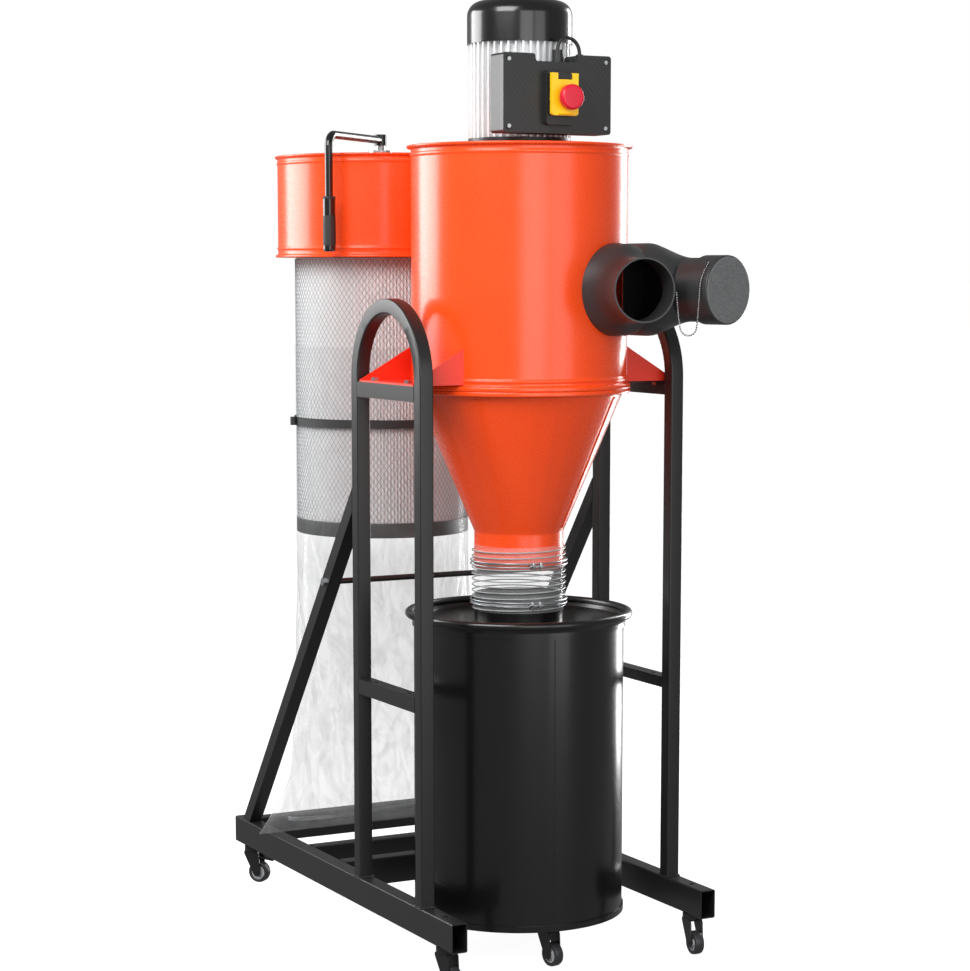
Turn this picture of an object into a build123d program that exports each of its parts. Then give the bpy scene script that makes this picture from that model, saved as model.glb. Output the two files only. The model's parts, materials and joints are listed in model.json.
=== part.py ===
from build123d import *
from math import cos, hypot, radians, sin, tan
import os

os.makedirs("parts", exist_ok=True)

# Frame of the model: +X is the machine's right, +Y its back, +Z up. The cyclone's axis is x = y = 0
# and the floor is z = 0. Sizes are in millimetres.

# ---- clearances ----

running_clearance = 0.05
slide_clearance = 0.3
weld_clearance = 0.2
soft_clearance = 0.6

# ---- castors ----

castor_height = 69.0
wheel_radius = 20.0
wheel_width = 17.0
wheel_edge_round = 3.0
axle_radius = 3.0
swivel_trail = 14.0
swivel_race_radius = 15.0
swivel_race_height = 9.0
swivel_gap = 0.6
stem_radius = 5.0
stem_length = 12.0
bush_radius = 9.0
bush_height = 15.0
fork_plate = 2.5
fork_side_gap = 1.0
brake_pin_radius = 2.5
brake_pin_z = 50.0
brake_pin_forward = 6.0
brake_pedal_reach = 46.0
brake_pedal_thickness = 3.0

# ---- base frame ----

rail_spacing = 464.0
rail_width = 28.0
rail_height = 48.0
rail_wall = 2.0
rail_corner = 2.8
rail_front_y = -234.0
rail_back_y = 668.0
castor_front_y = -184.0
castor_back_y = 618.0
front_tube_y = 243.0
middle_tube_y = 374.0
rear_tube_y = 640.0
rail_hole_radius = 4.5

# ---- hoops, braces and bars ----

hoop_width = 24.0
hoop_depth = 24.0
hoop_wall = 1.5
hoop_corner = 2.6
hoop_front_y = -112.0
hoop_back_y = 124.0
hoop_top_z = 1094.0
angle_leg = 25.0
angle_thickness = 3.0
upper_angle_z = 957.0
lower_angle_z = 459.0
brace_top_z = 778.0
brace_foot_y = 634.0
brace_depth = 24.0
tie_rod_z = 608.0
tie_rod_radius = 5.0

# ---- cyclone ----

barrel_radius = 178.0
barrel_wall = 1.5
barrel_bottom_z = 947.0
barrel_top_z = 1341.0
rim_overhang = 7.5
rim_height = 6.0
flange_overhang = 6.5
flange_height = 8.0
cone_wall = 1.5
cone_top_radius = 172.0
cone_bottom_z = 708.0
spout_bottom_z = 648.0
roof_inset = 3.0
roof_thickness = 2.0
divider_z = 1226.0
divider_thickness = 2.0
vortex_radius = 76.0
vortex_bottom_z = 1010.0
vortex_wall = 1.5

# ---- support brackets ----

bracket_plate = 3.0
bracket_rise = 55.0
bracket_length = 200.0
bracket_edge_inset = 2.0
bracket_bolt_spacing = 124.0
bolt_radius = 4.0
bolt_head_radius = 7.0
bolt_head_height = 5.0
nut_height = 6.0
screw_head_radius = 3.2
screw_head_height = 1.6

# ---- inlet fitting ----

inlet_z = 1108.0
inlet_left_x = 89.5
inlet_right_x = 143.5
inlet_radius = 74.5
inlet_wall = 3.0
inlet_back_y = -40.0
inlet_front_y = -190.0
port_radius = 51.0
port_wall = 2.5
left_port_angle = -10.0
left_port_x = 84.0
left_port_start = 36.0
left_port_end = 86.0
right_port_angle = 18.0
right_port_x = 181.0
right_port_start = 27.0
right_port_end = 102.0
port_datum_y = -200.0
cap_wall = 4.0
cap_depth = 42.0
chain_radius = 1.5

# ---- filter ----

filter_y = 531.0
housing_radius = 188.0
housing_wall = 1.5
housing_bottom_z = 1162.0
housing_top_z = 1344.0
housing_rim_overhang = 5.0
cartridge_radius = 157.5
cartridge_bore = 112.0
cartridge_bottom_z = 661.0
end_ring_height = 27.0
end_ring_overhang = 1.5
duct_left_x = -30.0
duct_right_x = 120.0
duct_bottom_z = 1236.0
duct_top_z = 1326.0
duct_wall = 1.5

# ---- dust bag ----

bag_top_z = 1003.0
bag_wall = 1.2
bag_clearance = 0.3
bag_straight_z = 640.0
bag_low_z = 165.0
bag_low_width = 428.0
bag_low_depth = 110.0
bag_y = 498.0
strap_z = 866.0
strap_width = 15.0
strap_thickness = 1.4
strap_knob_radius = 5.0
strap_knob_angle = 169.0

# ---- crank and flapper ----

crank_angle = 49.0
crank_reach = 225.0
crank_tube_radius = 7.0
crank_arm_z = 1374.0
crank_bend_radius = 22.0
crank_hub_radius = 11.0
crank_hub_height = 20.0
crank_shaft_radius = 8.0
crank_shaft_bottom_z = 700.0
crank_bush_radius = 22.0
crank_bush_height = 14.0
grip_top_z = 1265.0
grip_bottom_z = 1172.0
grip_radius = 11.0
flapper_reach = 104.0
flapper_thickness = 4.0
flapper_top_z = 1120.0
flapper_bottom_z = 720.0

# ---- motor ----

motor_base_radius = 84.0
motor_base_height = 14.0
motor_radius = 84.0
motor_core_radius = 74.0
motor_bore = 62.0
motor_fins = 44
motor_fin_width = 3.0
motor_body_top_z = 1510.0
end_shield_thickness = 10.0
cowl_bottom_z = 1503.0
cowl_top_z = 1572.0
cowl_wall = 1.5
cowl_round = 24.0
cowl_slots = 12
stator_bore = 36.0
stator_bottom_z = 1372.0
stator_height = 86.0
air_gap = 0.6
shaft_radius = 9.0
shaft_bottom_z = 1256.0
shaft_top_z = 1546.0
bearing_radius = 20.0
bearing_height = 9.0
impeller_radius = 140.0
impeller_top_z = 1322.0
impeller_height = 64.0
impeller_plate = 2.5
impeller_hub_radius = 24.0
impeller_blades = 8
fan_radius = 66.0
fan_bottom_z = 1518.0
fan_height = 22.0
fan_blades = 8

# ---- capacitor box and switch ----

box_width = 196.0
box_height = 124.0
box_bottom_z = 1355.0
box_gap = 0.2
box_depth = 32.8
box_wall = 2.5
box_corner = 5.0
lid_thickness = 10.0
notch_left_x = -40.0
notch_right_x = 36.0
notch_depth = 12.0
capacitor_radius = 13.0
capacitor_length = 80.0
switch_width = 54.0
switch_height = 84.0
switch_depth = 13.0
switch_z = 1410.0
button_width = 15.0
button_height = 22.0
button_offset = 11.0
button_proud = 4.0
button_body = 6.0
button_stroke = 3.0
flap_width = 48.0
flap_height = 56.0
flap_thickness = 7.0
flap_gap = 1.0
flap_pin_radius = 2.2
flap_lug_width = 11.0
flap_lug_height = 10.0
mushroom_x = 4.0
mushroom_radius = 20.0
mushroom_thickness = 12.0
mushroom_stem_radius = 8.0
mushroom_gap = 9.0
mushroom_stroke = 4.0
gland_radius = 9.0
gland_height = 21.0
gland_x = 14.0
grommet_radius = 6.0
grommet_height = 3.0
grommet_x = 54.0
cable_radius = 3.0
cable_setback = 17.8

# ---- hose, lid and drum ----

hose_bore = 75.0
hose_radius = 80.0
hose_top_z = 688.0
hose_bottom_z = 577.0
upper_clamp_z = 657.0
lower_clamp_z = 592.0
clamp_width = 9.0
clamp_thickness = 1.8
clamp_block = 14.0
collar_top_z = 604.0
collar_wall = 2.0
lid_seat_z = 559.0
lid_sheet = 2.0
lid_radius = 184.0
lid_bead_radius = 6.5
lid_bead_z = 571.0
drum_radius = 176.0
drum_wall = 1.5
drum_curl = 2.5
drum_curl_height = 8.0
drum_chime_z = 65.0
drum_chime_height = 10.0
drum_castor_radius = 138.0
drum_castors = 3
drum_castor_start = -98.0

# ---- derived places ----

rail_bottom_z = castor_height
rail_top_z = rail_bottom_z + rail_height
rail_middle_z = rail_bottom_z + rail_height / 2
rail_x = rail_spacing / 2
rail_length = rail_back_y - rail_front_y
cross_length = rail_spacing - rail_width
hoop_centre_y = (hoop_front_y + hoop_back_y) / 2
hoop_outer_radius = (hoop_back_y - hoop_front_y + hoop_depth) / 2
hoop_spring_z = hoop_top_z - hoop_outer_radius
hoop_outer_x = rail_x + hoop_width / 2
hoop_inner_x = rail_x - hoop_width / 2
angle_start_y = hoop_front_y + hoop_depth / 2
angle_length = hoop_back_y - hoop_front_y - hoop_depth
brace_top_y = hoop_back_y + hoop_depth / 2
brace_run = brace_foot_y - brace_top_y
brace_rise = brace_top_z - rail_top_z
brace_length = hypot(brace_run, brace_rise)
tie_rod_y = brace_foot_y - (tie_rod_z - rail_top_z) * brace_run / brace_rise - brace_depth / 2 * brace_length / brace_rise
barrel_bore = barrel_radius - barrel_wall
roof_top_z = barrel_top_z - roof_inset
spout_radius = hose_bore - soft_clearance
collar_radius = hose_bore - soft_clearance
motor_base_top_z = roof_top_z + motor_base_height
bracket_top_z = upper_angle_z + bracket_plate
bracket_bolt_x = hoop_outer_x - angle_leg / 2
bracket_bolt_y = [hoop_centre_y - bracket_bolt_spacing / 2, hoop_centre_y + bracket_bolt_spacing / 2]
box_back_y = -(motor_radius + box_gap)
cable_y = box_back_y - cable_setback
lid_front_y = box_back_y - box_depth - lid_thickness
switch_front_y = lid_front_y - switch_depth
flap_back_y = switch_front_y - button_proud - flap_gap
flap_front_y = flap_back_y - flap_thickness
flap_pin_y = flap_back_y - flap_thickness / 2
flap_top_z = switch_z + flap_height / 2
flap_pin_z = flap_top_z + flap_lug_height / 2
box_top_z = box_bottom_z + box_height
notch_z = box_top_z - notch_depth
drum_floor_z = castor_height + bush_height
fork_inner = wheel_width / 2 + fork_side_gap
fork_outer = fork_inner + fork_plate
crown_z = castor_height - swivel_gap - swivel_race_height


def save(node, name):
    """Label one finished sub-part and write it to its own file."""
    node.part.label = name
    export_step(node.part, "parts/" + name + ".step")


def plane_facing_y(y):
    """A plane at the given y whose sketch axes are X and Z; extrude by a negative amount towards +Y."""
    return Plane.XZ.offset(-y)


# ---- base frame: two rails, three cross tubes and the bushes that take the castor stems ----

castor_places = [(side * rail_x, y) for side in (-1, 1) for y in (castor_front_y, castor_back_y)]

with BuildPart() as base_frame:
    with BuildSketch(plane_facing_y(rail_front_y)):
        with Locations((-rail_x, rail_middle_z), (rail_x, rail_middle_z)):
            RectangleRounded(rail_width, rail_height, rail_corner)
            RectangleRounded(
                rail_width - 2 * rail_wall,
                rail_height - 2 * rail_wall,
                rail_corner - rail_wall,
                mode=Mode.SUBTRACT,
            )
    extrude(amount=-rail_length)
    with BuildSketch(Plane.YZ.offset(-cross_length / 2)):
        with Locations(*[(y, rail_middle_z) for y in (front_tube_y, middle_tube_y, rear_tube_y)]):
            RectangleRounded(rail_width, rail_height, rail_corner)
            RectangleRounded(
                rail_width - 2 * rail_wall,
                rail_height - 2 * rail_wall,
                rail_corner - rail_wall,
                mode=Mode.SUBTRACT,
            )
    extrude(amount=cross_length)
    with BuildSketch(Plane.XY.offset(rail_bottom_z)):
        with Locations(*castor_places):
            Circle(bush_radius)
    extrude(amount=bush_height)
    with BuildSketch(Plane.XY.offset(rail_bottom_z)):
        with Locations(*castor_places):
            Circle(stem_radius + running_clearance)
    extrude(amount=bush_height, mode=Mode.SUBTRACT)
    with BuildSketch(Plane.XY.offset(rail_top_z - rail_wall)):
        with Locations(*castor_places):
            Circle(rail_hole_radius)
    extrude(amount=rail_wall, mode=Mode.SUBTRACT)
save(base_frame, "base_frame")


# ---- hoops: one bent square tube on each side, standing on the rails ----

def hoop_outline(inset):
    """Side view of a hoop in Y and Z, drawn inset by a wall thickness."""
    outer = hoop_outer_radius - inset
    inner = hoop_outer_radius - hoop_depth + inset
    leg_height = hoop_spring_z - rail_top_z
    leg_middle = (hoop_centre_y, rail_top_z + leg_height / 2)
    with Locations((hoop_centre_y, hoop_spring_z)):
        Circle(outer)
    with Locations((hoop_centre_y, hoop_spring_z - outer / 2)):
        Rectangle(2 * outer, outer, mode=Mode.SUBTRACT)
    with Locations(leg_middle):
        Rectangle(2 * outer, leg_height)
        Rectangle(2 * inner, leg_height, mode=Mode.SUBTRACT)
    with Locations((hoop_centre_y, hoop_spring_z)):
        Circle(inner, mode=Mode.SUBTRACT)


for side, name in ((-1, "left_hoop"), (1, "right_hoop")):
    with BuildPart() as hoop:
        with BuildSketch(Plane.YZ.offset(side * rail_x - hoop_width / 2)):
            hoop_outline(0)
        extrude(amount=hoop_width)
        fillet(faces().filter_by(Axis.X).edges().group_by(Axis.Z)[1:], radius=hoop_corner)
        with BuildSketch(Plane.YZ.offset(side * rail_x - hoop_width / 2 + hoop_wall)):
            hoop_outline(hoop_wall)
        extrude(amount=hoop_width - 2 * hoop_wall, mode=Mode.SUBTRACT)
    save(hoop, name)


# ---- angle bars: an upper and a lower one between the uprights of each hoop ----

with BuildPart() as hoop_angles:
    with BuildSketch(plane_facing_y(angle_start_y)):
        for side in (-1, 1):
            for top_z in (upper_angle_z, lower_angle_z):
                with Locations((side * (hoop_outer_x - angle_leg / 2), top_z - angle_thickness / 2)):
                    Rectangle(angle_leg, angle_thickness)
                with Locations((side * (hoop_outer_x - angle_thickness / 2), top_z - angle_leg / 2)):
                    Rectangle(angle_thickness, angle_leg)
    extrude(amount=-angle_length)
    for top_z in (upper_angle_z, lower_angle_z):
        with BuildSketch(Plane.XY.offset(top_z - angle_thickness)):
            with Locations(*[(side * bracket_bolt_x, y) for side in (-1, 1) for y in bracket_bolt_y]):
                Circle(bolt_radius + running_clearance)
        extrude(amount=angle_thickness, mode=Mode.SUBTRACT)
save(hoop_angles, "hoop_angles")


# ---- rear braces: mitred tubes from the rear uprights down to the rails, and the rod between them ----

def brace_outline(inset):
    """Side view of a brace in Y and Z: a parallelogram with an upright end and a level end."""
    across = brace_length / brace_rise
    down = brace_length / brace_run
    upper = inset
    lower = brace_depth - inset
    Polygon(
        (brace_top_y, brace_top_z - upper * down),
        (brace_foot_y - upper * across, rail_top_z),
        (brace_foot_y - lower * across, rail_top_z),
        (brace_top_y, brace_top_z - lower * down),
        align=None,
    )


with BuildPart() as rear_braces:
    for side in (-1, 1):
        with BuildSketch(Plane.YZ.offset(side * rail_x - hoop_width / 2)):
            brace_outline(0)
        extrude(amount=hoop_width)
        with BuildSketch(Plane.YZ.offset(side * rail_x - hoop_width / 2 + hoop_wall)):
            brace_outline(hoop_wall)
        extrude(amount=hoop_width - 2 * hoop_wall, mode=Mode.SUBTRACT)
save(rear_braces, "rear_braces")

with BuildPart() as tie_rod:
    with BuildSketch(Plane.YZ.offset(-hoop_inner_x)):
        with Locations((tie_rod_y, tie_rod_z)):
            Circle(tie_rod_radius)
    extrude(amount=2 * hoop_inner_x)
save(tie_rod, "tie_rod")


# ---- cyclone barrel: rolled sheet with a rim, a lower flange and openings for inlet and outlet ----

def inlet_outline(radius):
    """Round-ended outline of the inlet fitting, in X and Z."""
    with Locations((inlet_left_x, inlet_z), (inlet_right_x, inlet_z)):
        Circle(radius)
    with Locations(((inlet_left_x + inlet_right_x) / 2, inlet_z)):
        Rectangle(inlet_right_x - inlet_left_x, 2 * radius)


def duct_outline(inset):
    """Rectangular outline of the outlet duct, in X and Z."""
    with Locations(((duct_left_x + duct_right_x) / 2, (duct_bottom_z + duct_top_z) / 2)):
        Rectangle(duct_right_x - duct_left_x - 2 * inset, duct_top_z - duct_bottom_z - 2 * inset)


with BuildPart() as cyclone_barrel:
    with BuildSketch(Plane.XY.offset(barrel_bottom_z)):
        Circle(barrel_radius)
    extrude(amount=barrel_top_z - barrel_bottom_z)
    with BuildSketch(Plane.XY.offset(barrel_top_z - rim_height)):
        Circle(barrel_radius + rim_overhang)
    extrude(amount=rim_height)
    fillet(edges().filter_by(GeomType.CIRCLE).group_by(SortBy.RADIUS)[-1], radius=rim_height * 0.45)
    with BuildSketch(Plane.XY.offset(barrel_bottom_z)):
        Circle(barrel_radius + flange_overhang)
    extrude(amount=flange_height)
    with BuildSketch(Plane.XY.offset(barrel_bottom_z)):
        Circle(barrel_bore)
    extrude(amount=barrel_top_z - barrel_bottom_z, mode=Mode.SUBTRACT)
    with BuildSketch(plane_facing_y(0)):
        inlet_outline(inlet_radius - inlet_wall)
    extrude(amount=barrel_radius, mode=Mode.SUBTRACT)
    with BuildSketch(plane_facing_y(0)):
        duct_outline(duct_wall)
    extrude(amount=-barrel_radius, mode=Mode.SUBTRACT)
save(cyclone_barrel, "cyclone_barrel")

with BuildPart() as barrel_roof:
    with BuildSketch(Plane.XY.offset(roof_top_z - roof_thickness)):
        Circle(barrel_bore - weld_clearance)
        Circle(bearing_radius - 4, mode=Mode.SUBTRACT)
    extrude(amount=roof_thickness)
save(barrel_roof, "barrel_roof")


# ---- cone: a flange under the barrel's, a cone and a spout, turned as one sheet ----

cone_top_z = barrel_bottom_z - flange_height

with BuildPart() as cyclone_cone:
    with BuildSketch(Plane.XZ):
        Polygon(
            (cone_top_radius - cone_wall, barrel_bottom_z),
            (barrel_radius + flange_overhang, barrel_bottom_z),
            (barrel_radius + flange_overhang, cone_top_z),
            (cone_top_radius, cone_top_z),
            (spout_radius, cone_bottom_z),
            (spout_radius, spout_bottom_z),
            (spout_radius - cone_wall, spout_bottom_z),
            (spout_radius - cone_wall, cone_bottom_z),
            (cone_top_radius - cone_wall, cone_top_z),
            align=None,
        )
    revolve(axis=Axis.Z)
save(cyclone_cone, "cyclone_cone")


# ---- vortex finder: the divider under the fan chamber and the tube that hangs from it ----

with BuildPart() as vortex_finder:
    with BuildSketch(Plane.XY.offset(divider_z)):
        Circle(barrel_bore - weld_clearance)
    extrude(amount=divider_thickness)
    with BuildSketch(Plane.XY.offset(vortex_bottom_z)):
        Circle(vortex_radius)
    extrude(amount=divider_z - vortex_bottom_z)
    with BuildSketch(Plane.XY.offset(vortex_bottom_z)):
        Circle(vortex_radius - vortex_wall)
    extrude(amount=divider_z + divider_thickness - vortex_bottom_z, mode=Mode.SUBTRACT)
save(vortex_finder, "vortex_finder")


# ---- support brackets: a folded plate on each side, bolted to the upper angle bar ----

bracket_start_y = hoop_centre_y - bracket_length / 2
bracket_outer_x = hoop_outer_x - bracket_edge_inset

with BuildPart() as support_brackets:
    for side in (-1, 1):
        with BuildSketch(Plane.XY.offset(upper_angle_z)):
            with Locations((side * bracket_outer_x / 2, hoop_centre_y)):
                Rectangle(bracket_outer_x, bracket_length)
        extrude(amount=bracket_plate)
        for web_y in (bracket_start_y, bracket_start_y + bracket_length - bracket_plate):
            barrel_x = (barrel_radius**2 - web_y**2) ** 0.5
            with BuildSketch(plane_facing_y(web_y)):
                Polygon(
                    (side * bracket_outer_x, bracket_top_z),
                    (0, bracket_top_z),
                    (0, bracket_top_z + bracket_rise),
                    (side * barrel_x, bracket_top_z + bracket_rise),
                    align=None,
                )
            extrude(amount=-bracket_plate)
    with BuildSketch(Plane.XY.offset(upper_angle_z)):
        Circle(barrel_radius + weld_clearance)
    extrude(amount=bracket_plate + bracket_rise, mode=Mode.SUBTRACT)
    with BuildSketch(Plane.XY.offset(upper_angle_z)):
        with Locations(*[(side * bracket_bolt_x, y) for side in (-1, 1) for y in bracket_bolt_y]):
            Circle(bolt_radius + running_clearance)
    extrude(amount=bracket_plate, mode=Mode.SUBTRACT)
save(support_brackets, "support_brackets")


# ---- inlet fitting: a round-ended body on the barrel's side that divides into two ports ----

def port_plane(x, angle, distance):
    """Plane across a port, the given distance in front of the port's datum, facing out of its mouth."""
    out = Vector(sin(radians(angle)), -cos(radians(angle)), 0)
    return Plane(origin=Vector(x, port_datum_y, inlet_z) + out * distance, x_dir=(0, 0, 1), z_dir=out)


ports = (
    (inlet_left_x, left_port_x, left_port_angle, left_port_start, left_port_end),
    (inlet_right_x, right_port_x, right_port_angle, right_port_start, right_port_end),
)


def inlet_solid(inset, port_inset):
    """Body, tapers and pipes of the inlet fitting, drawn inset by its wall."""
    with BuildPart() as shape:
        with BuildSketch(plane_facing_y(inlet_front_y)):
            inlet_outline(inlet_radius - inset)
        extrude(amount=-(inlet_back_y - inset - inlet_front_y))
        for body_x, port_x, angle, start, end in ports:
            with BuildSketch(plane_facing_y(inlet_front_y)):
                with Locations((body_x, inlet_z)):
                    Circle(inlet_radius - inset)
            with BuildSketch(port_plane(port_x, angle, start)):
                Circle(port_radius - port_inset)
            loft()
            with BuildSketch(port_plane(port_x, angle, start)):
                Circle(port_radius - port_inset)
            extrude(amount=end - start)
    return shape.part


with BuildPart() as inlet_fitting:
    add(inlet_solid(0, 0))
    add(inlet_solid(inlet_wall, port_wall), mode=Mode.SUBTRACT)
    with BuildSketch(Plane.XY.offset(inlet_z - inlet_radius)):
        Circle(barrel_radius + weld_clearance)
    extrude(amount=2 * inlet_radius, mode=Mode.SUBTRACT)
save(inlet_fitting, "inlet_fitting")


# ---- port cap on the right port, and the bead chain that keeps it ----

cap_back = port_plane(right_port_x, right_port_angle, right_port_end - cap_depth + cap_wall)

with BuildPart() as port_cap:
    with BuildSketch(cap_back):
        Circle(port_radius + running_clearance + cap_wall)
    extrude(amount=cap_depth)
    fillet(edges().filter_by(GeomType.CIRCLE).sort_by(Axis.Y)[0], radius=cap_wall / 2)
    with BuildSketch(cap_back):
        Circle(port_radius + running_clearance)
    extrude(amount=cap_depth - cap_wall + slide_clearance, mode=Mode.SUBTRACT)
save(port_cap, "port_cap")

chain_points = [
    (174.3, -303.2, 1150.6),
    (157.4, -308.6, 1130.7),
    (153.8, -309.8, 1103.0),
    (153.0, -308.6, 1079.0),
    (152.3, -307.0, 1059.0),
    (151.2, -305.6, 1043.4),
    (143.9, -303.6, 1037.0),
    (134.1, -301.2, 1037.0),
    (126.8, -299.0, 1043.4),
    (124.4, -297.4, 1057.0),
    (122.6, -296.0, 1078.0),
    (121.4, -294.5, 1104.0),
]


def corner_radii(points):
    """Largest arc that two neighbouring runs allow, for each inner point of a route."""
    radii = []
    for before, point, after in zip(points, points[1:], points[2:]):
        coming = Vector(*point) - Vector(*before)
        going = Vector(*after) - Vector(*point)
        half_turn = radians(coming.get_angle(going)) / 2
        radii.append(0.45 * min(coming.length, going.length) / tan(half_turn))
    return radii


chain_radii = corner_radii(chain_points)
print("chain radii", [round(r, 1) for r in chain_radii])

with BuildPart() as cap_chain:
    with BuildLine() as chain_path:
        FilletPolyline(*chain_points, radius=chain_radii)
    with BuildSketch(Plane(origin=chain_path.line @ 0, z_dir=chain_path.line % 0)):
        Circle(chain_radius)
    sweep()
save(cap_chain, "cap_chain")


# ---- outlet duct: from the fan chamber back to the filter housing ----

with BuildPart() as outlet_duct:
    with BuildSketch(plane_facing_y(0)):
        duct_outline(0)
        duct_outline(duct_wall)
    extrude(amount=-filter_y)
    with BuildSketch(plane_facing_y(0)):
        duct_outline(duct_wall)
    extrude(amount=-filter_y, mode=Mode.SUBTRACT)
    with BuildSketch(Plane.XY.offset(duct_bottom_z)):
        Circle(barrel_radius + weld_clearance)
        with Locations((0, filter_y)):
            Circle(housing_radius + weld_clearance)
    extrude(amount=duct_top_z - duct_bottom_z, mode=Mode.SUBTRACT)
save(outlet_duct, "outlet_duct")


# ---- filter housing: a rolled sheet drum with a roof and a floor ring that the cartridge hangs under ----

with BuildPart() as filter_housing:
    with BuildSketch(Plane.XY.offset(housing_bottom_z)):
        with Locations((0, filter_y)):
            Circle(housing_radius)
    extrude(amount=housing_top_z - housing_bottom_z)
    with BuildSketch(Plane.XY.offset(housing_bottom_z)):
        with Locations((0, filter_y)):
            Circle(housing_radius + housing_rim_overhang)
    extrude(amount=rim_height)
    with BuildSketch(Plane.XY.offset(housing_top_z - rim_height)):
        with Locations((0, filter_y)):
            Circle(housing_radius + housing_rim_overhang)
    extrude(amount=rim_height)
    fillet(edges().filter_by(GeomType.CIRCLE).group_by(SortBy.RADIUS)[-1], radius=rim_height * 0.45)
    with BuildSketch(Plane.XY.offset(housing_top_z - roof_inset)):
        with Locations((0, filter_y)):
            Circle(housing_radius - housing_wall)
    extrude(amount=roof_inset, mode=Mode.SUBTRACT)
    with BuildSketch(Plane.XY.offset(housing_bottom_z + housing_wall)):
        with Locations((0, filter_y)):
            Circle(housing_radius - housing_wall)
    extrude(amount=housing_top_z - roof_inset - roof_thickness - housing_bottom_z - housing_wall, mode=Mode.SUBTRACT)
    with BuildSketch(Plane.XY.offset(housing_bottom_z)):
        with Locations((0, filter_y)):
            Circle(cartridge_bore)
    extrude(amount=housing_wall, mode=Mode.SUBTRACT)
    with BuildSketch(Plane.XY.offset(housing_top_z - roof_inset - roof_thickness)):
        with Locations((0, filter_y)):
            Circle(crank_bush_radius / 2)
    extrude(amount=roof_thickness, mode=Mode.SUBTRACT)
    with BuildSketch(plane_facing_y(filter_y)):
        duct_outline(duct_wall)
    extrude(amount=housing_radius, mode=Mode.SUBTRACT)
save(filter_housing, "filter_housing")

with BuildPart() as filter_cartridge:
    with BuildSketch(Plane.XY.offset(cartridge_bottom_z)):
        with Locations((0, filter_y)):
            Circle(cartridge_radius)
            Circle(cartridge_bore, mode=Mode.SUBTRACT)
    extrude(amount=housing_bottom_z - cartridge_bottom_z)
    with BuildSketch(Plane.XY.offset(cartridge_bottom_z)):
        with Locations((0, filter_y)):
            Circle(cartridge_radius + end_ring_overhang)
            Circle(cartridge_bore, mode=Mode.SUBTRACT)
    extrude(amount=end_ring_height)
save(filter_cartridge, "filter_cartridge")


# ---- dust bag: round where it is strapped to the cartridge, flat where it rests on the cross tubes ----

bag_radius = cartridge_radius + end_ring_overhang + bag_clearance + bag_wall


def bag_solid(inset):
    """Outer or inner shape of the bag, drawn inset by its film."""
    with BuildPart() as shape:
        with BuildSketch(Plane.XY.offset(bag_straight_z)):
            with Locations((0, filter_y)):
                Circle(bag_radius - inset)
        with BuildSketch(Plane.XY.offset(bag_low_z)):
            with Locations((0, bag_y)):
                Ellipse(bag_low_width / 2 - inset, bag_low_depth / 2 - inset)
        loft()
        with BuildSketch(Plane.XY.offset(bag_low_z)):
            with Locations((0, bag_y)):
                Ellipse(bag_low_width / 2 - inset, bag_low_depth / 2 - inset)
        extrude(amount=rail_top_z + soft_clearance + inset - bag_low_z)
        with BuildSketch(Plane.XY.offset(bag_straight_z)):
            with Locations((0, filter_y)):
                Circle(bag_radius - inset)
        extrude(amount=bag_top_z - bag_straight_z)
    return shape.part


with BuildPart() as dust_bag:
    add(bag_solid(0))
    add(bag_solid(bag_wall), mode=Mode.SUBTRACT)
save(dust_bag, "dust_bag")

strap_radius = bag_radius + running_clearance
knob_angle = radians(strap_knob_angle)
knob_reach = strap_radius + strap_thickness + strap_knob_radius

with BuildPart() as bag_strap:
    with BuildSketch(Plane.XY.offset(strap_z - strap_width / 2)):
        with Locations((0, filter_y)):
            Circle(strap_radius + strap_thickness)
        with Locations((knob_reach * cos(knob_angle), filter_y + knob_reach * sin(knob_angle))):
            Circle(strap_knob_radius + 1)
        with Locations((0, filter_y)):
            Circle(strap_radius, mode=Mode.SUBTRACT)
    extrude(amount=strap_width)
save(bag_strap, "bag_strap")


# ---- crank: a bent tube with a grip that turns the flapper inside the cartridge ----

crank_out = Vector(-sin(radians(crank_angle)), -cos(radians(crank_angle)), 0)
crank_centre = Vector(0, filter_y, crank_arm_z)
tube_end_z = grip_bottom_z + 8
roof_z = housing_top_z - roof_inset

with BuildPart() as crank_arm:
    with BuildLine():
        FilletPolyline(
            crank_centre,
            crank_centre + crank_out * crank_reach,
            crank_centre + crank_out * crank_reach - Vector(0, 0, crank_arm_z - tube_end_z),
            radius=crank_bend_radius,
        )
    with BuildSketch(Plane(origin=crank_centre, z_dir=crank_out)):
        Circle(crank_tube_radius)
    sweep()
    with BuildSketch(Plane.XY.offset(crank_arm_z - crank_hub_height / 2)):
        with Locations((0, filter_y)):
            Circle(crank_hub_radius)
    extrude(amount=crank_hub_height)
    with BuildSketch(Plane.XY.offset(grip_bottom_z)):
        with Locations(tuple(crank_centre + crank_out * crank_reach)[:2]):
            Circle(grip_radius)
    extrude(amount=grip_top_z - grip_bottom_z)
    fillet(edges().filter_by(GeomType.CIRCLE).group_by(Axis.Z)[0], radius=3)
save(crank_arm, "crank_arm")

with BuildPart() as filter_flapper:
    with BuildSketch(Plane.XY.offset(crank_shaft_bottom_z)):
        with Locations((0, filter_y)):
            Circle(crank_shaft_radius)
    extrude(amount=crank_arm_z - crank_hub_height / 2 - crank_shaft_bottom_z)
    with BuildSketch(Plane.XY.offset(flapper_bottom_z)):
        with Locations((0, filter_y)):
            Rectangle(2 * flapper_reach, flapper_thickness)
    extrude(amount=flapper_top_z - flapper_bottom_z)
save(filter_flapper, "filter_flapper")


# ---- motor: base, finned body, end shield, stator, rotor with its cooling fan, and cowl ----

with BuildPart() as motor_base:
    with BuildSketch(Plane.XY.offset(roof_top_z)):
        Circle(motor_base_radius)
        Circle(bearing_radius + running_clearance, mode=Mode.SUBTRACT)
    extrude(amount=motor_base_height)
save(motor_base, "motor_base")

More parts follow.
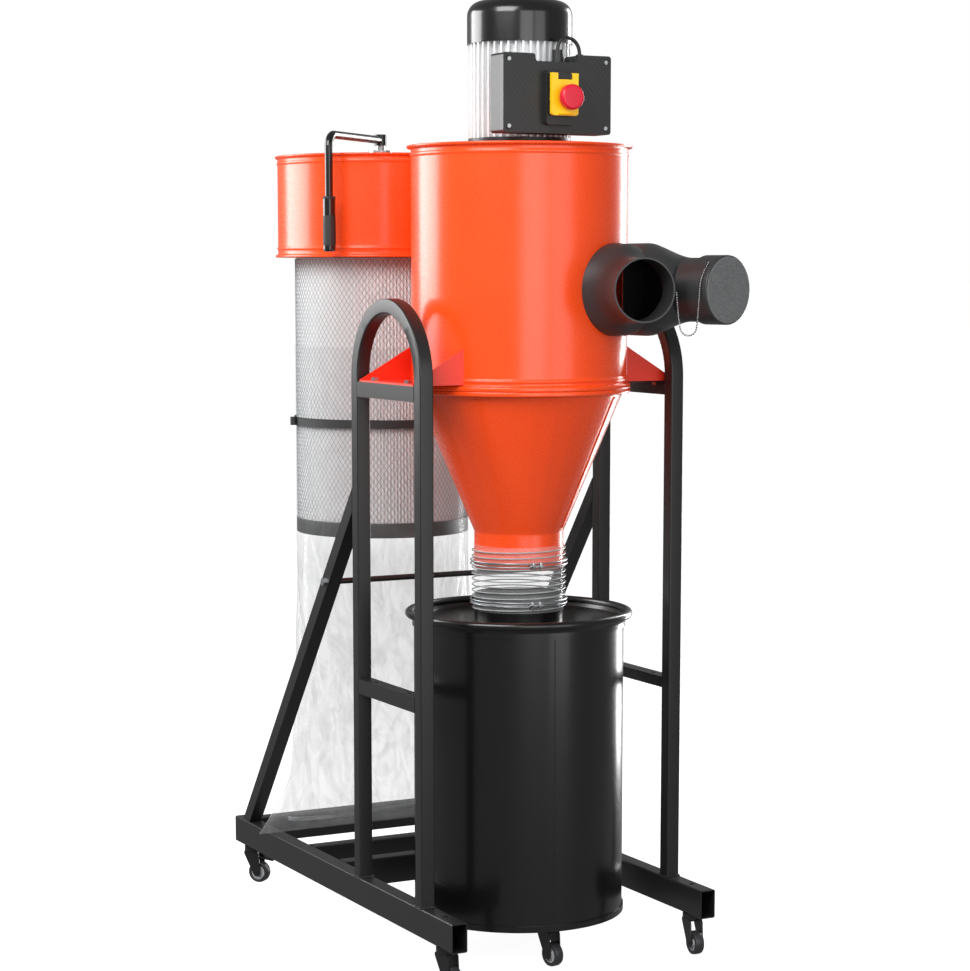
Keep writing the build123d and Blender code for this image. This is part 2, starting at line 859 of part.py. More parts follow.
with BuildPart() as motor_body:
    with BuildSketch(Plane.XY.offset(motor_base_top_z)):
        Circle(motor_core_radius)
        with PolarLocations((motor_core_radius + motor_radius) / 2 - 1, motor_fins):
            Rectangle(motor_radius - motor_core_radius + 2, motor_fin_width)
        Circle(motor_bore, mode=Mode.SUBTRACT)
    extrude(amount=motor_body_top_z - motor_base_top_z)
    with BuildSketch(Plane.XY.offset(motor_body_top_z - end_shield_thickness)):
        Circle(motor_bore + 1)
        Circle(bearing_radius + running_clearance, mode=Mode.SUBTRACT)
    extrude(amount=end_shield_thickness)
save(motor_body, "motor_body")

with BuildPart() as motor_stator:
    with BuildSketch(Plane.XY.offset(stator_bottom_z)):
        Circle(motor_bore - running_clearance)
        Circle(stator_bore, mode=Mode.SUBTRACT)
    extrude(amount=stator_height)
save(motor_stator, "motor_stator")

lower_bearing_z = roof_top_z + (motor_base_height - bearing_height) / 2
upper_bearing_z = motor_body_top_z - end_shield_thickness

with BuildPart() as shaft_bearings:
    for bearing_z in (lower_bearing_z, upper_bearing_z):
        with BuildSketch(Plane.XY.offset(bearing_z)):
            Circle(bearing_radius)
            Circle(shaft_radius + running_clearance, mode=Mode.SUBTRACT)
        extrude(amount=bearing_height)
    with BuildSketch(Plane.XY.offset(roof_z)):
        with Locations((0, filter_y)):
            Circle(crank_bush_radius)
            Circle(crank_shaft_radius + running_clearance, mode=Mode.SUBTRACT)
    extrude(amount=crank_bush_height)
save(shaft_bearings, "shaft_bearings")

with BuildPart() as motor_rotor:
    with BuildSketch(Plane.XY.offset(shaft_bottom_z)):
        Circle(shaft_radius)
    extrude(amount=shaft_top_z - shaft_bottom_z)
    with BuildSketch(Plane.XY.offset(stator_bottom_z)):
        Circle(stator_bore - air_gap)
    extrude(amount=stator_height)
    with BuildSketch(Plane.XY.offset(fan_bottom_z)):
        Circle(shaft_radius * 2)
        with PolarLocations((fan_radius + shaft_radius) / 2, fan_blades):
            Rectangle(fan_radius - shaft_radius, 2)
    extrude(amount=fan_height)
save(motor_rotor, "motor_rotor")

blade_outer = impeller_radius - impeller_plate

with BuildPart() as impeller:
    with BuildSketch(Plane.XY.offset(impeller_top_z - impeller_plate)):
        Circle(impeller_radius)
        Circle(shaft_radius + running_clearance, mode=Mode.SUBTRACT)
    extrude(amount=impeller_plate)
    with BuildSketch(Plane.XY.offset(impeller_top_z - impeller_height)):
        Circle(impeller_hub_radius)
        with PolarLocations((blade_outer + shaft_radius) / 2, impeller_blades):
            Rectangle(blade_outer - shaft_radius, impeller_plate)
        Circle(shaft_radius + running_clearance, mode=Mode.SUBTRACT)
    extrude(amount=impeller_height)
save(impeller, "impeller")

cowl_bore = motor_radius + slide_clearance
cowl_radius = cowl_bore + cowl_wall

with BuildPart() as fan_cowl:
    with BuildSketch(Plane.XY.offset(cowl_bottom_z)):
        Circle(cowl_radius)
    extrude(amount=cowl_top_z - cowl_bottom_z)
    fillet(edges().filter_by(GeomType.CIRCLE).group_by(Axis.Z)[-1], radius=cowl_round)
    with BuildSketch(Plane.XY.offset(cowl_bottom_z)):
        Circle(cowl_bore)
    extrude(amount=cowl_top_z - cowl_round - cowl_bottom_z, mode=Mode.SUBTRACT)
    with BuildSketch(Plane.XY.offset(cowl_top_z - cowl_round)):
        Circle(cowl_bore)
    extrude(amount=cowl_round - cowl_wall, taper=45, mode=Mode.SUBTRACT)
    with BuildSketch(Plane.XY.offset(cowl_top_z - cowl_wall - 1)):
        with PolarLocations(38, cowl_slots):
            SlotOverall(24, 6)
    extrude(amount=cowl_wall + 2, mode=Mode.SUBTRACT)
save(fan_cowl, "fan_cowl")


# ---- capacitor box: a deep tray and its lid, notched at the top where the cable comes in ----

def box_outline(inset):
    """Front view of the box in X and Z, with the notch in its upper edge."""
    with Locations((0, box_bottom_z + box_height / 2)):
        Rectangle(box_width - 2 * inset, box_height - 2 * inset)
    with Locations(((notch_left_x + notch_right_x) / 2, notch_z - inset + notch_depth / 2)):
        Rectangle(notch_right_x - notch_left_x + 2 * inset, notch_depth, mode=Mode.SUBTRACT)
    if inset == 0:
        fillet(vertices(), radius=box_corner)


with BuildPart() as capacitor_box:
    with BuildSketch(plane_facing_y(box_back_y)):
        box_outline(0)
    extrude(amount=box_depth)
    with BuildSketch(plane_facing_y(box_back_y - box_wall)):
        box_outline(box_wall)
    extrude(amount=box_depth - box_wall, mode=Mode.SUBTRACT)
save(capacitor_box, "capacitor_box")

with BuildPart() as capacitor_box_lid:
    with BuildSketch(plane_facing_y(box_back_y - box_depth)):
        box_outline(0)
    extrude(amount=lid_thickness)
    with BuildSketch(plane_facing_y(box_back_y - box_depth)):
        box_outline(box_wall)
    extrude(amount=lid_thickness - box_wall, mode=Mode.SUBTRACT)
save(capacitor_box_lid, "capacitor_box_lid")

capacitor_y = box_back_y - box_wall - capacitor_radius - running_clearance

with BuildPart() as capacitors:
    with BuildSketch(Plane.YZ.offset(-box_width / 2 + 2 * box_wall)):
        with Locations((capacitor_y, box_bottom_z + 30), (capacitor_y, box_bottom_z + 75)):
            Circle(capacitor_radius)
    extrude(amount=capacitor_length)
save(capacitors, "capacitors")


# ---- switch: housing with two button wells and a hinge ear, two buttons, flap and stop mushroom ----

button_well = button_body + button_stroke + slide_clearance
ear_width = flap_width - 2 * flap_lug_width - 2 * slide_clearance

with BuildPart() as switch_housing:
    with BuildSketch(plane_facing_y(lid_front_y)):
        with Locations((0, switch_z)):
            RectangleRounded(switch_width, switch_height, box_corner)
    extrude(amount=switch_depth)
    with BuildSketch(plane_facing_y(switch_front_y + button_well)):
        with Locations((-button_offset, switch_z), (button_offset, switch_z)):
            Rectangle(button_width + 2 * slide_clearance, button_height + 2 * slide_clearance)
    extrude(amount=button_well, mode=Mode.SUBTRACT)
    with BuildSketch(plane_facing_y(switch_front_y)):
        with Locations((0, flap_pin_z)):
            Rectangle(ear_width, flap_lug_height - 2)
    extrude(amount=button_proud + flap_gap + flap_thickness - 1)
    with BuildSketch(Plane.YZ.offset(-ear_width / 2)):
        with Locations((flap_pin_y, flap_pin_z)):
            Circle(flap_pin_radius + running_clearance)
    extrude(amount=ear_width, mode=Mode.SUBTRACT)
save(switch_housing, "switch_housing")

for name, button_x in (("start_button", -button_offset), ("stop_button", button_offset)):
    with BuildPart() as button:
        with BuildSketch(plane_facing_y(switch_front_y + button_body)):
            with Locations((button_x, switch_z)):
                Rectangle(button_width, button_height)
        extrude(amount=button_body + button_proud)
    save(button, name)

with BuildPart() as switch_flap:
    with BuildSketch(plane_facing_y(flap_back_y)):
        with Locations((0, switch_z)):
            RectangleRounded(flap_width, flap_height, box_corner)
        lug_x = (flap_width - flap_lug_width) / 2
        with Locations((-lug_x, flap_pin_z), (lug_x, flap_pin_z)):
            Rectangle(flap_lug_width, flap_lug_height)
        with Locations((-lug_x, flap_top_z - box_corner / 2), (lug_x, flap_top_z - box_corner / 2)):
            Rectangle(flap_lug_width, box_corner)
    extrude(amount=flap_thickness)
    with BuildSketch(Plane.YZ.offset(-flap_width / 2 + flap_lug_width / 2)):
        with Locations((flap_pin_y, flap_pin_z)):
            Circle(flap_pin_radius)
    extrude(amount=flap_width - flap_lug_width)
    with BuildSketch(plane_facing_y(flap_back_y)):
        with Locations((mushroom_x, switch_z)):
            Circle(mushroom_stem_radius + running_clearance)
    extrude(amount=flap_thickness, mode=Mode.SUBTRACT)
save(switch_flap, "switch_flap")

with BuildPart() as stop_mushroom:
    with BuildSketch(plane_facing_y(flap_front_y - mushroom_gap)):
        with Locations((mushroom_x, switch_z)):
            Circle(mushroom_radius)
    extrude(amount=mushroom_thickness)
    fillet(edges().filter_by(GeomType.CIRCLE).sort_by(Axis.Y)[0], radius=mushroom_thickness * 0.4)
    with BuildSketch(plane_facing_y(flap_back_y - mushroom_stroke - slide_clearance)):
        with Locations((mushroom_x, switch_z)):
            Circle(mushroom_stem_radius)
    extrude(amount=flap_thickness - mushroom_stroke - slide_clearance + mushroom_gap)
save(stop_mushroom, "stop_mushroom")

with BuildPart() as cable_glands:
    with BuildSketch(Plane.XY.offset(notch_z)):
        with Locations((gland_x, cable_y)):
            Circle(gland_radius)
    extrude(amount=gland_height)
    with BuildSketch(Plane.XY.offset(box_top_z)):
        with Locations((grommet_x, cable_y)):
            Circle(grommet_radius)
    extrude(amount=grommet_height)
save(cable_glands, "cable_glands")

gland_top_z = notch_z + gland_height
grommet_top_z = box_top_z + grommet_height
cable_points = [
    (gland_x, cable_y, gland_top_z),
    (gland_x, cable_y, gland_top_z + 11),
    (gland_x + 14, cable_y, gland_top_z + 21),
    (grommet_x - 10, cable_y, gland_top_z + 17),
    (grommet_x, cable_y, gland_top_z + 4),
    (grommet_x, cable_y, grommet_top_z),
]
cable_radii = corner_radii(cable_points)
print("cable radii", [round(r, 1) for r in cable_radii])

with BuildPart() as switch_cable:
    with BuildLine() as cable_path:
        FilletPolyline(*cable_points, radius=cable_radii)
    with BuildSketch(Plane.XY.offset(gland_top_z)):
        with Locations((gland_x, cable_y)):
            Circle(cable_radius)
    sweep()
save(switch_cable, "switch_cable")


# ---- hose between the cone's spout and the lid's collar, with its two clamps ----

with BuildPart() as flex_hose:
    with BuildSketch(Plane.XY.offset(hose_bottom_z)):
        Circle(hose_radius)
        Circle(hose_bore, mode=Mode.SUBTRACT)
    extrude(amount=hose_top_z - hose_bottom_z)
save(flex_hose, "flex_hose")

clamp_bore = hose_radius + running_clearance
for name, clamp_z in (("upper_hose_clamp", upper_clamp_z), ("lower_hose_clamp", lower_clamp_z)):
    with BuildPart() as clamp:
        with BuildSketch(Plane.XY.offset(clamp_z - clamp_width / 2)):
            Circle(clamp_bore + clamp_thickness)
            with Locations((0, -clamp_bore - clamp_thickness)):
                Rectangle(clamp_block, clamp_block / 2)
            Circle(clamp_bore, mode=Mode.SUBTRACT)
        extrude(amount=clamp_width)
    save(clamp, name)


# ---- drum lid: a shallow dish with a collar for the hose and a rolled bead round its edge ----

with BuildPart() as drum_lid:
    with BuildSketch(Plane.XZ):
        Polygon(
            (collar_radius - collar_wall, lid_seat_z),
            (drum_radius + drum_curl, lid_seat_z),
            (lid_radius + lid_sheet / 2, lid_bead_z),
            (lid_radius - lid_sheet, lid_bead_z),
            (drum_radius, lid_seat_z + lid_sheet),
            (collar_radius, lid_seat_z + lid_sheet),
            (collar_radius, collar_top_z),
            (collar_radius - collar_wall, collar_top_z),
            align=None,
        )
        with Locations((lid_radius, lid_bead_z)):
            Circle(lid_bead_radius)
    revolve(axis=Axis.Z)
save(drum_lid, "drum_lid")


# ---- drum: open shell with a curl at the top, a chime below, a floor and castor bushes ----

drum_castor_angles = [drum_castor_start + 360 * i / drum_castors for i in range(drum_castors)]
drum_castor_places = [
    (drum_castor_radius * cos(radians(a)), drum_castor_radius * sin(radians(a))) for a in drum_castor_angles
]

with BuildPart() as drum_shell:
    with BuildSketch(Plane.XY.offset(drum_chime_z)):
        Circle(drum_radius)
    extrude(amount=lid_seat_z - drum_chime_z)
    with BuildSketch(Plane.XY.offset(drum_chime_z)):
        Circle(drum_radius + drum_curl)
    extrude(amount=drum_chime_height)
    with BuildSketch(Plane.XY.offset(lid_seat_z - drum_curl_height)):
        Circle(drum_radius + drum_curl)
    extrude(amount=drum_curl_height)
    with BuildSketch(Plane.XY.offset(drum_floor_z + drum_wall)):
        Circle(drum_radius - drum_wall)
    extrude(amount=lid_seat_z - drum_floor_z, mode=Mode.SUBTRACT)
    with BuildSketch(Plane.XY.offset(drum_chime_z)):
        Circle(drum_radius - drum_wall)
    extrude(amount=drum_floor_z - drum_chime_z, mode=Mode.SUBTRACT)
    with BuildSketch(Plane.XY.offset(castor_height)):
        with Locations(*drum_castor_places):
            Circle(bush_radius)
    extrude(amount=bush_height)
    with BuildSketch(Plane.XY.offset(castor_height)):
        with Locations(*drum_castor_places):
            Circle(stem_radius + running_clearance)
    extrude(amount=stem_length + slide_clearance, mode=Mode.SUBTRACT)
save(drum_shell, "drum_shell")


# ---- fasteners: bracket bolts with their nuts, the tie rod's end bolts, and the motor's and box's screws ----

box_screw_x = box_width / 2 - 4 * box_wall
box_screw_z = [box_bottom_z + 4 * box_wall, box_top_z - 4 * box_wall]

with BuildPart() as fasteners:
    for side in (-1, 1):
        bolt_places = [(side * bracket_bolt_x, y) for y in bracket_bolt_y]
        with BuildSketch(Plane.XY.offset(bracket_top_z)):
            with Locations(*bolt_places):
                RegularPolygon(bolt_head_radius, 6)
        extrude(amount=bolt_head_height)
        with BuildSketch(Plane.XY.offset(upper_angle_z - angle_thickness)):
            with Locations(*bolt_places):
                Circle(bolt_radius)
        extrude(amount=bracket_top_z - upper_angle_z + angle_thickness)
        with BuildSketch(Plane.XY.offset(upper_angle_z - angle_thickness)):
            with Locations(*bolt_places):
                RegularPolygon(bolt_head_radius, 6)
        extrude(amount=-nut_height)
        with BuildSketch(Plane.YZ.offset(side * hoop_outer_x)):
            with Locations((tie_rod_y, tie_rod_z)):
                RegularPolygon(bolt_head_radius, 6)
        extrude(amount=side * bolt_head_height)
    with BuildSketch(plane_facing_y(lid_front_y)):
        with Locations(*[(x, z) for x in (-box_screw_x, box_screw_x) for z in box_screw_z]):
            Circle(screw_head_radius)
    extrude(amount=screw_head_height)
save(fasteners, "fasteners")


# ---- castors: a swivelling fork and a wheel each; the rear pair under the frame has brake pedals ----

def castor_plane(place, heading):
    """Plane on the floor under a swivel, with x along the direction in which the wheel trails."""
    return Plane(origin=(place[0], place[1], 0), x_dir=(cos(radians(heading)), sin(radians(heading)), 0), z_dir=(0, 0, 1))


def side_plane(floor, offset):
    """Upright plane beside a castor's wheel, with the trailing direction and Z as its sketch axes."""
    across = floor.z_dir.cross(floor.x_dir)
    return Plane(origin=floor.origin + across * offset, x_dir=floor.x_dir, z_dir=-across)


def make_fork(floor, name, has_brake):
    """Fork with its stem, race, crown, two legs and axle."""
    with BuildPart() as fork:
        with BuildSketch(floor.offset(crown_z)):
            Circle(swivel_race_radius)
        extrude(amount=swivel_race_height)
        with BuildSketch(floor.offset(crown_z)):
            Circle(stem_radius)
        extrude(amount=castor_height + stem_length - crown_z)
        with BuildSketch(side_plane(floor, fork_outer)):
            fork_outline()
        extrude(amount=2 * fork_outer)
        with BuildSketch(side_plane(floor, fork_inner)):
            with Locations((swivel_trail, (crown_z - fork_plate) / 2)):
                Rectangle(6 * wheel_radius, crown_z - fork_plate)
        extrude(amount=2 * fork_inner, mode=Mode.SUBTRACT)
        with BuildSketch(side_plane(floor, fork_outer + 1)):
            with Locations((swivel_trail, wheel_radius)):
                Circle(axle_radius)
        extrude(amount=2 * fork_outer + 2)
        if has_brake:
            with BuildSketch(side_plane(floor, fork_outer)):
                with Locations((brake_pin_forward, brake_pin_z)):
                    Circle(brake_pin_radius + running_clearance)
            extrude(amount=2 * fork_outer, mode=Mode.SUBTRACT)
    save(fork, name)


def fork_outline():
    """Side view of a fork, narrowing from the crown to the axle."""
    foot = axle_radius + 4
    Polygon(
        (-swivel_race_radius * 0.8, crown_z),
        (-swivel_race_radius * 0.8, crown_z - 2 * fork_plate),
        (swivel_trail - foot, wheel_radius - foot / 2),
        (swivel_trail - foot / 2, wheel_radius - foot),
        (swivel_trail + foot / 2, wheel_radius - foot),
        (swivel_trail + foot, wheel_radius - foot / 2),
        (swivel_race_radius + foot / 2, crown_z - 2 * fork_plate),
        (swivel_race_radius, crown_z),
        align=None,
    )


def make_wheel(floor, name):
    """Wheel with rounded tread edges and a hub recess on each side."""
    with BuildPart() as wheel:
        with BuildSketch(side_plane(floor, wheel_width / 2)):
            with Locations((swivel_trail, wheel_radius)):
                Circle(wheel_radius)
        extrude(amount=wheel_width)
        fillet(edges().filter_by(GeomType.CIRCLE), radius=wheel_edge_round)
        with BuildSketch(side_plane(floor, wheel_width / 2)):
            with Locations((swivel_trail, wheel_radius)):
                Circle(axle_radius + running_clearance)
        extrude(amount=wheel_width, mode=Mode.SUBTRACT)
    save(wheel, name)


def make_pedal(floor, name):
    """Brake pedal on its own pin above the wheel."""
    with BuildPart() as pedal:
        with BuildSketch(side_plane(floor, fork_outer)):
            with Locations((brake_pin_forward, brake_pin_z)):
                Circle(brake_pin_radius)
        extrude(amount=2 * fork_outer)
        with BuildSketch(side_plane(floor, fork_inner - slide_clearance)):
            Polygon(
                (brake_pin_forward, brake_pin_z - brake_pedal_thickness / 2),
                (brake_pedal_reach, brake_pin_z - brake_pedal_thickness * 2),
                (brake_pedal_reach, brake_pin_z - brake_pedal_thickness),
                (brake_pin_forward, brake_pin_z + brake_pedal_thickness / 2),
                align=None,
            )
        extrude(amount=2 * (fork_inner - slide_clearance))
    save(pedal, name)


frame_castors = (
    ("front_left", castor_places[0], -75.0, False),
    ("rear_left", castor_places[1], -50.0, True),
    ("front_right", castor_places[2], -95.0, False),
    ("rear_right", castor_places[3], -110.0, True),
)
for prefix, place, heading, has_brake in frame_castors:
    floor = castor_plane(place, heading)
    make_fork(floor, prefix + "_fork", has_brake)
    make_wheel(floor, prefix + "_wheel")
    if has_brake:
        make_pedal(floor, prefix + "_brake")

drum_headings = (-80.0, 60.0, 150.0)
for number, (place, heading) in enumerate(zip(drum_castor_places, drum_headings), 1):
    floor = castor_plane(place, heading)
    make_fork(floor, "drum_fork_" + str(number), False)
    make_wheel(floor, "drum_wheel_" + str(number))
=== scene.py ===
import bmesh
import bpy
import numpy as np
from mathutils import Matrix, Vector

import json

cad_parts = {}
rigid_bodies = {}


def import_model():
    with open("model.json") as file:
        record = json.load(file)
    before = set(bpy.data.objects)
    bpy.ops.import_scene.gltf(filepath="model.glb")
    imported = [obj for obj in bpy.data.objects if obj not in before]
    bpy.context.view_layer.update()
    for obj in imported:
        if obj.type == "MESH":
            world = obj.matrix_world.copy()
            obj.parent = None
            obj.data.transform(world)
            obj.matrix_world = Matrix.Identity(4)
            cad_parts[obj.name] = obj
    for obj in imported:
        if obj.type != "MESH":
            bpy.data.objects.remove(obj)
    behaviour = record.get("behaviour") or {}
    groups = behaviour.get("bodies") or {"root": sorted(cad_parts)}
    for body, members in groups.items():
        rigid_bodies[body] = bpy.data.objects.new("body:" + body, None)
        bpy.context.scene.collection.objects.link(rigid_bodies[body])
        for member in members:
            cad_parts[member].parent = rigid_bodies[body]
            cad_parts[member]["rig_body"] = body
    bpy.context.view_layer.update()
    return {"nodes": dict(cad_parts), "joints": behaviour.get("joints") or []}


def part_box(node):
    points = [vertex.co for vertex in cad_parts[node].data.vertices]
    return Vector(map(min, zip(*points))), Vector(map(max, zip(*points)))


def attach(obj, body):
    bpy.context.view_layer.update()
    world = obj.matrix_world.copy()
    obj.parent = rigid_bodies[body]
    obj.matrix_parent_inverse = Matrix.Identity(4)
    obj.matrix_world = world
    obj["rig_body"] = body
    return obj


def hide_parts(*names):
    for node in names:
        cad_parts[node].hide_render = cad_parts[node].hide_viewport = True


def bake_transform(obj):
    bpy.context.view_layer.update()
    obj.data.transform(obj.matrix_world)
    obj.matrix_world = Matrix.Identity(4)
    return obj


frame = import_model()


# ----------------------------------------------
# Camera. It stands at the machine's front left, a little above the drum, with a long lens.
# ----------------------------------------------
camera_data = bpy.data.cameras.new("camera")
camera_data.lens = 92.8
camera_data.sensor_width = 36.0
camera_data.shift_y = 0.118
camera_data.clip_end = 60.0
camera = bpy.data.objects.new("camera", camera_data)
camera.location = (-1.9845, -3.6585, 1.1386)
camera.rotation_euler = (np.radians(82.5), 0.0, np.radians(-27.7))
bpy.context.scene.collection.objects.link(camera)
bpy.context.scene.camera = camera
bpy.context.scene.view_settings.view_transform = "Standard"


# ----------------------------------------------
# Cap chain. Nickel-plated bead chain, hung from the inlet fitting to the port cap so that the
# cap isn't lost. Each bead is a pressed ball; a thin wire shows between two beads.
# ----------------------------------------------
def linear(code):
    """Linear red, green, blue and 1 from a hex code, by the sRGB curve."""
    c = np.array([int(code[i:i + 2], 16) for i in (1, 3, 5)]) / 255
    c = np.where(c <= 0.04045, c / 12.92, ((c + 0.055) / 1.055) ** 2.4)
    return (float(c[0]), float(c[1]), float(c[2]), 1.0)


def add(tree, kind, values=None, **settings):
    """One shader node: settings are its own options, values its inputs, each a number, colour or socket."""
    node = tree.nodes.new(kind)
    for key, value in settings.items():
        setattr(node, key, value)
    for key, value in (values or {}).items():
        if isinstance(value, bpy.types.NodeSocket):
            tree.links.new(value, node.inputs[key])
        else:
            node.inputs[key].default_value = value
    return node


def finish_material(name, colour, second, rough, grain_mm, grain_depth, mottle_mm=60.0, **shader):
    """A coated or moulded surface: two close colours in a soft mottle, and a fine grain in relief.

    colour and second are hex codes; grain_mm is the size of the grain, grain_depth its height in mm.
    """
    material = bpy.data.materials.new(name)
    material.use_nodes = True
    tree = material.node_tree
    tree.nodes.clear()
    out = add(tree, "ShaderNodeOutputMaterial")
    where = add(tree, "ShaderNodeTexCoord")
    soft = add(tree, "ShaderNodeTexNoise", {"Vector": where.outputs["Object"], "Scale": 1000 / mottle_mm,
                                            "Detail": 3.0})
    fine = add(tree, "ShaderNodeTexNoise", {"Vector": where.outputs["Object"], "Scale": 1000 / grain_mm,
                                            "Detail": 2.0})
    mix = add(tree, "ShaderNodeMix", {"Factor": soft.outputs["Fac"], "A": linear(colour),
                                      "B": linear(second)}, data_type="RGBA")
    spread = add(tree, "ShaderNodeMapRange", {"Value": fine.outputs["Fac"], "To Max": rough + 0.05,
                                               "To Min": max(rough - 0.05, 0.02)})
    bump = add(tree, "ShaderNodeBump", {"Height": fine.outputs["Fac"], "Distance": grain_depth / 1000,
                                        "Strength": 1.0})
    bsdf = add(tree, "ShaderNodeBsdfPrincipled", {
        "Base Color": mix.outputs["Result"], "Roughness": spread.outputs["Result"],
        "Normal": bump.outputs["Normal"], **shader})
    tree.links.new(bsdf.outputs["BSDF"], out.inputs["Surface"])
    return material, tree, bsdf


def grid_faces(rows, columns, around, along=False):
    """Quads of a grid as an index array: each square joins a row to the next and a column to the next."""
    i = np.arange(rows if along else rows - 1)
    j = np.arange(columns if around else columns - 1)
    i, j = np.meshgrid(i, j, indexing="ij")
    a = (i % rows) * columns + j % columns
    b = ((i + 1) % rows) * columns + j % columns
    c = ((i + 1) % rows) * columns + (j + 1) % columns
    d = (i % rows) * columns + (j + 1) % columns
    return np.stack([a, b, c, d], axis=-1).reshape(-1, 4)


def shade(bm, smooth):
    """Smooth shading, with an edge left sharp where its two faces turn by more than smooth degrees."""
    for edge in bm.edges:
        edge.smooth = bool(len(edge.link_faces) != 2 or edge.calc_face_angle(0.0) < np.radians(smooth))
    for face in bm.faces:
        face.smooth = True


def make_piece(name, points, faces, material, body, slot, smooth=40.0, merge=True, outward=True):
    """A named piece from points (metres) and faces, smooth up to an angle in degrees, riding on a body."""
    mesh = bpy.data.meshes.new(name)
    points = np.asarray(points, float).reshape(-1, 3)
    faces = np.asarray(faces)
    mesh.from_pydata(points.tolist(), [], faces.tolist())
    bm = bmesh.new()
    bm.from_mesh(mesh)
    if merge:
        bmesh.ops.remove_doubles(bm, verts=bm.verts, dist=2e-6)
        bmesh.ops.dissolve_degenerate(bm, edges=bm.edges, dist=1e-7)
    if outward:
        bmesh.ops.recalc_face_normals(bm, faces=bm.faces)
    shade(bm, smooth)
    bm.to_mesh(mesh)
    bm.free()
    piece = bpy.data.objects.new(name, mesh)
    bpy.context.scene.collection.objects.link(piece)
    mesh.materials.append(material)
    if body:
        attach(piece, body)
    return piece


def spline_points(route, name):
    """A smooth NURBS line through a route given in mm: its curve object, and points along it in metres."""
    curve = bpy.data.curves.new(name, "CURVE")
    curve.dimensions = "3D"
    curve.resolution_u = 24
    spline = curve.splines.new("NURBS")
    spline.points.add(len(route) - 1)
    for point, place in zip(spline.points, route):
        point.co = (place[0] / 1000, place[1] / 1000, place[2] / 1000, 1.0)
    spline.order_u = 3
    spline.use_endpoint_u = True
    holder = bpy.data.objects.new(name, curve)
    bpy.context.scene.collection.objects.link(holder)
    bpy.context.view_layer.update()
    line = bpy.data.meshes.new_from_object(holder)
    points = np.array([v.co for v in line.vertices])
    bpy.data.meshes.remove(line)
    return holder, points


def resample(points, step):
    """Evenly spaced points along a line: positions at equal arc lengths."""
    lengths = np.concatenate([[0], np.cumsum(np.linalg.norm(np.diff(points, axis=0), axis=1))])
    count = max(int(lengths[-1] / step), 2)
    at = np.linspace(0, lengths[-1], count)
    return np.stack([np.interp(at, lengths, points[:, k]) for k in range(3)], axis=1), lengths[-1]


def tube_grid(path, radius, sides, closed=False):
    """Rings of a tube: each ring lies across the path's direction, at the given radius, without twisting."""
    path = np.asarray(path, float)
    forward = (np.roll(path, -1, 0) - np.roll(path, 1, 0)) if closed else np.gradient(path, axis=0)
    forward /= np.linalg.norm(forward, axis=1, keepdims=True)
    seed = np.array([0.13, 0.21, 0.97]) if abs(forward[0][2]) < 0.8 else np.array([0.97, 0.21, 0.13])
    across = np.cross(forward, seed)
    across /= np.linalg.norm(across, axis=1, keepdims=True)
    up = np.cross(forward, across)
    turn = np.linspace(0, 2 * np.pi, sides, endpoint=False)
    radius = np.broadcast_to(radius, (len(path),))[:, None, None]
    return path[:, None, :] + radius * (np.cos(turn)[None, :, None] * across[:, None, :]
                                        + np.sin(turn)[None, :, None] * up[:, None, :])


def capped(rings):
    """The rings with a point ring added at each end, which closes the tube."""
    first = np.repeat(rings[:1].mean(1, keepdims=True), rings.shape[1], 1)
    last = np.repeat(rings[-1:].mean(1, keepdims=True), rings.shape[1], 1)
    return np.concatenate([first, rings, last])


def joined(parts):
    """One point array and one face array from several (points, faces) pairs."""
    points, faces, start = [], [], 0
    for p, f in parts:
        p = np.asarray(p).reshape(-1, 3)
        points.append(p)
        faces.append(np.asarray(f) + start)
        start += len(p)
    return np.concatenate(points), np.concatenate(faces)


def tube(path, radius, sides, closed=False):
    """Points and faces of a round tube along a path, closed at its ends or into a ring."""
    rings = tube_grid(path, radius, sides, closed)
    if not closed:
        rings = capped(rings)
    return rings, grid_faces(rings.shape[0], sides, True, closed)


nickel, _, _ = finish_material("nickel plate on brass beads", "#A4A6A8", "#8B8D90", 0.25, 0.6, 0.004, 12.0,
                               Metallic=1.0)

chain_route = [
    (174.3, -303.2, 1150.6), (157.4, -308.6, 1130.7), (153.8, -309.8, 1103.0), (153.0, -308.6, 1079.0),
    (152.3, -307.0, 1059.0), (151.2, -305.6, 1043.4), (143.9, -303.6, 1037.0), (134.1, -301.2, 1037.0),
    (126.8, -299.0, 1043.4), (124.4, -297.4, 1057.0), (122.6, -296.0, 1078.0), (121.4, -294.5, 1104.0)]
chain_line, chain_path = spline_points(chain_route, "chain_line")
bpy.data.objects.remove(chain_line)
bead_places, chain_length = resample(chain_path, 0.0037)
u, v = np.meshgrid(np.linspace(0, np.pi, 6), np.linspace(0, 2 * np.pi, 8, endpoint=False), indexing="ij")
ball = 0.0016 * np.stack([np.sin(u) * np.cos(v), np.sin(u) * np.sin(v), np.cos(u)], axis=-1)
beads = bead_places[:, None, None, :] + ball[None]
bead_faces = grid_faces(6, 8, True)
bead_faces = (bead_faces[None] + (np.arange(len(beads)) * 48)[:, None, None]).reshape(-1, 4)
cap_chain = make_piece("bead_chain", *joined([(beads, bead_faces), tube(bead_places, 0.0005, 6)]),
                       nickel, None, "chrome_wire")
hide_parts("cap_chain")
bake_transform(cap_chain)


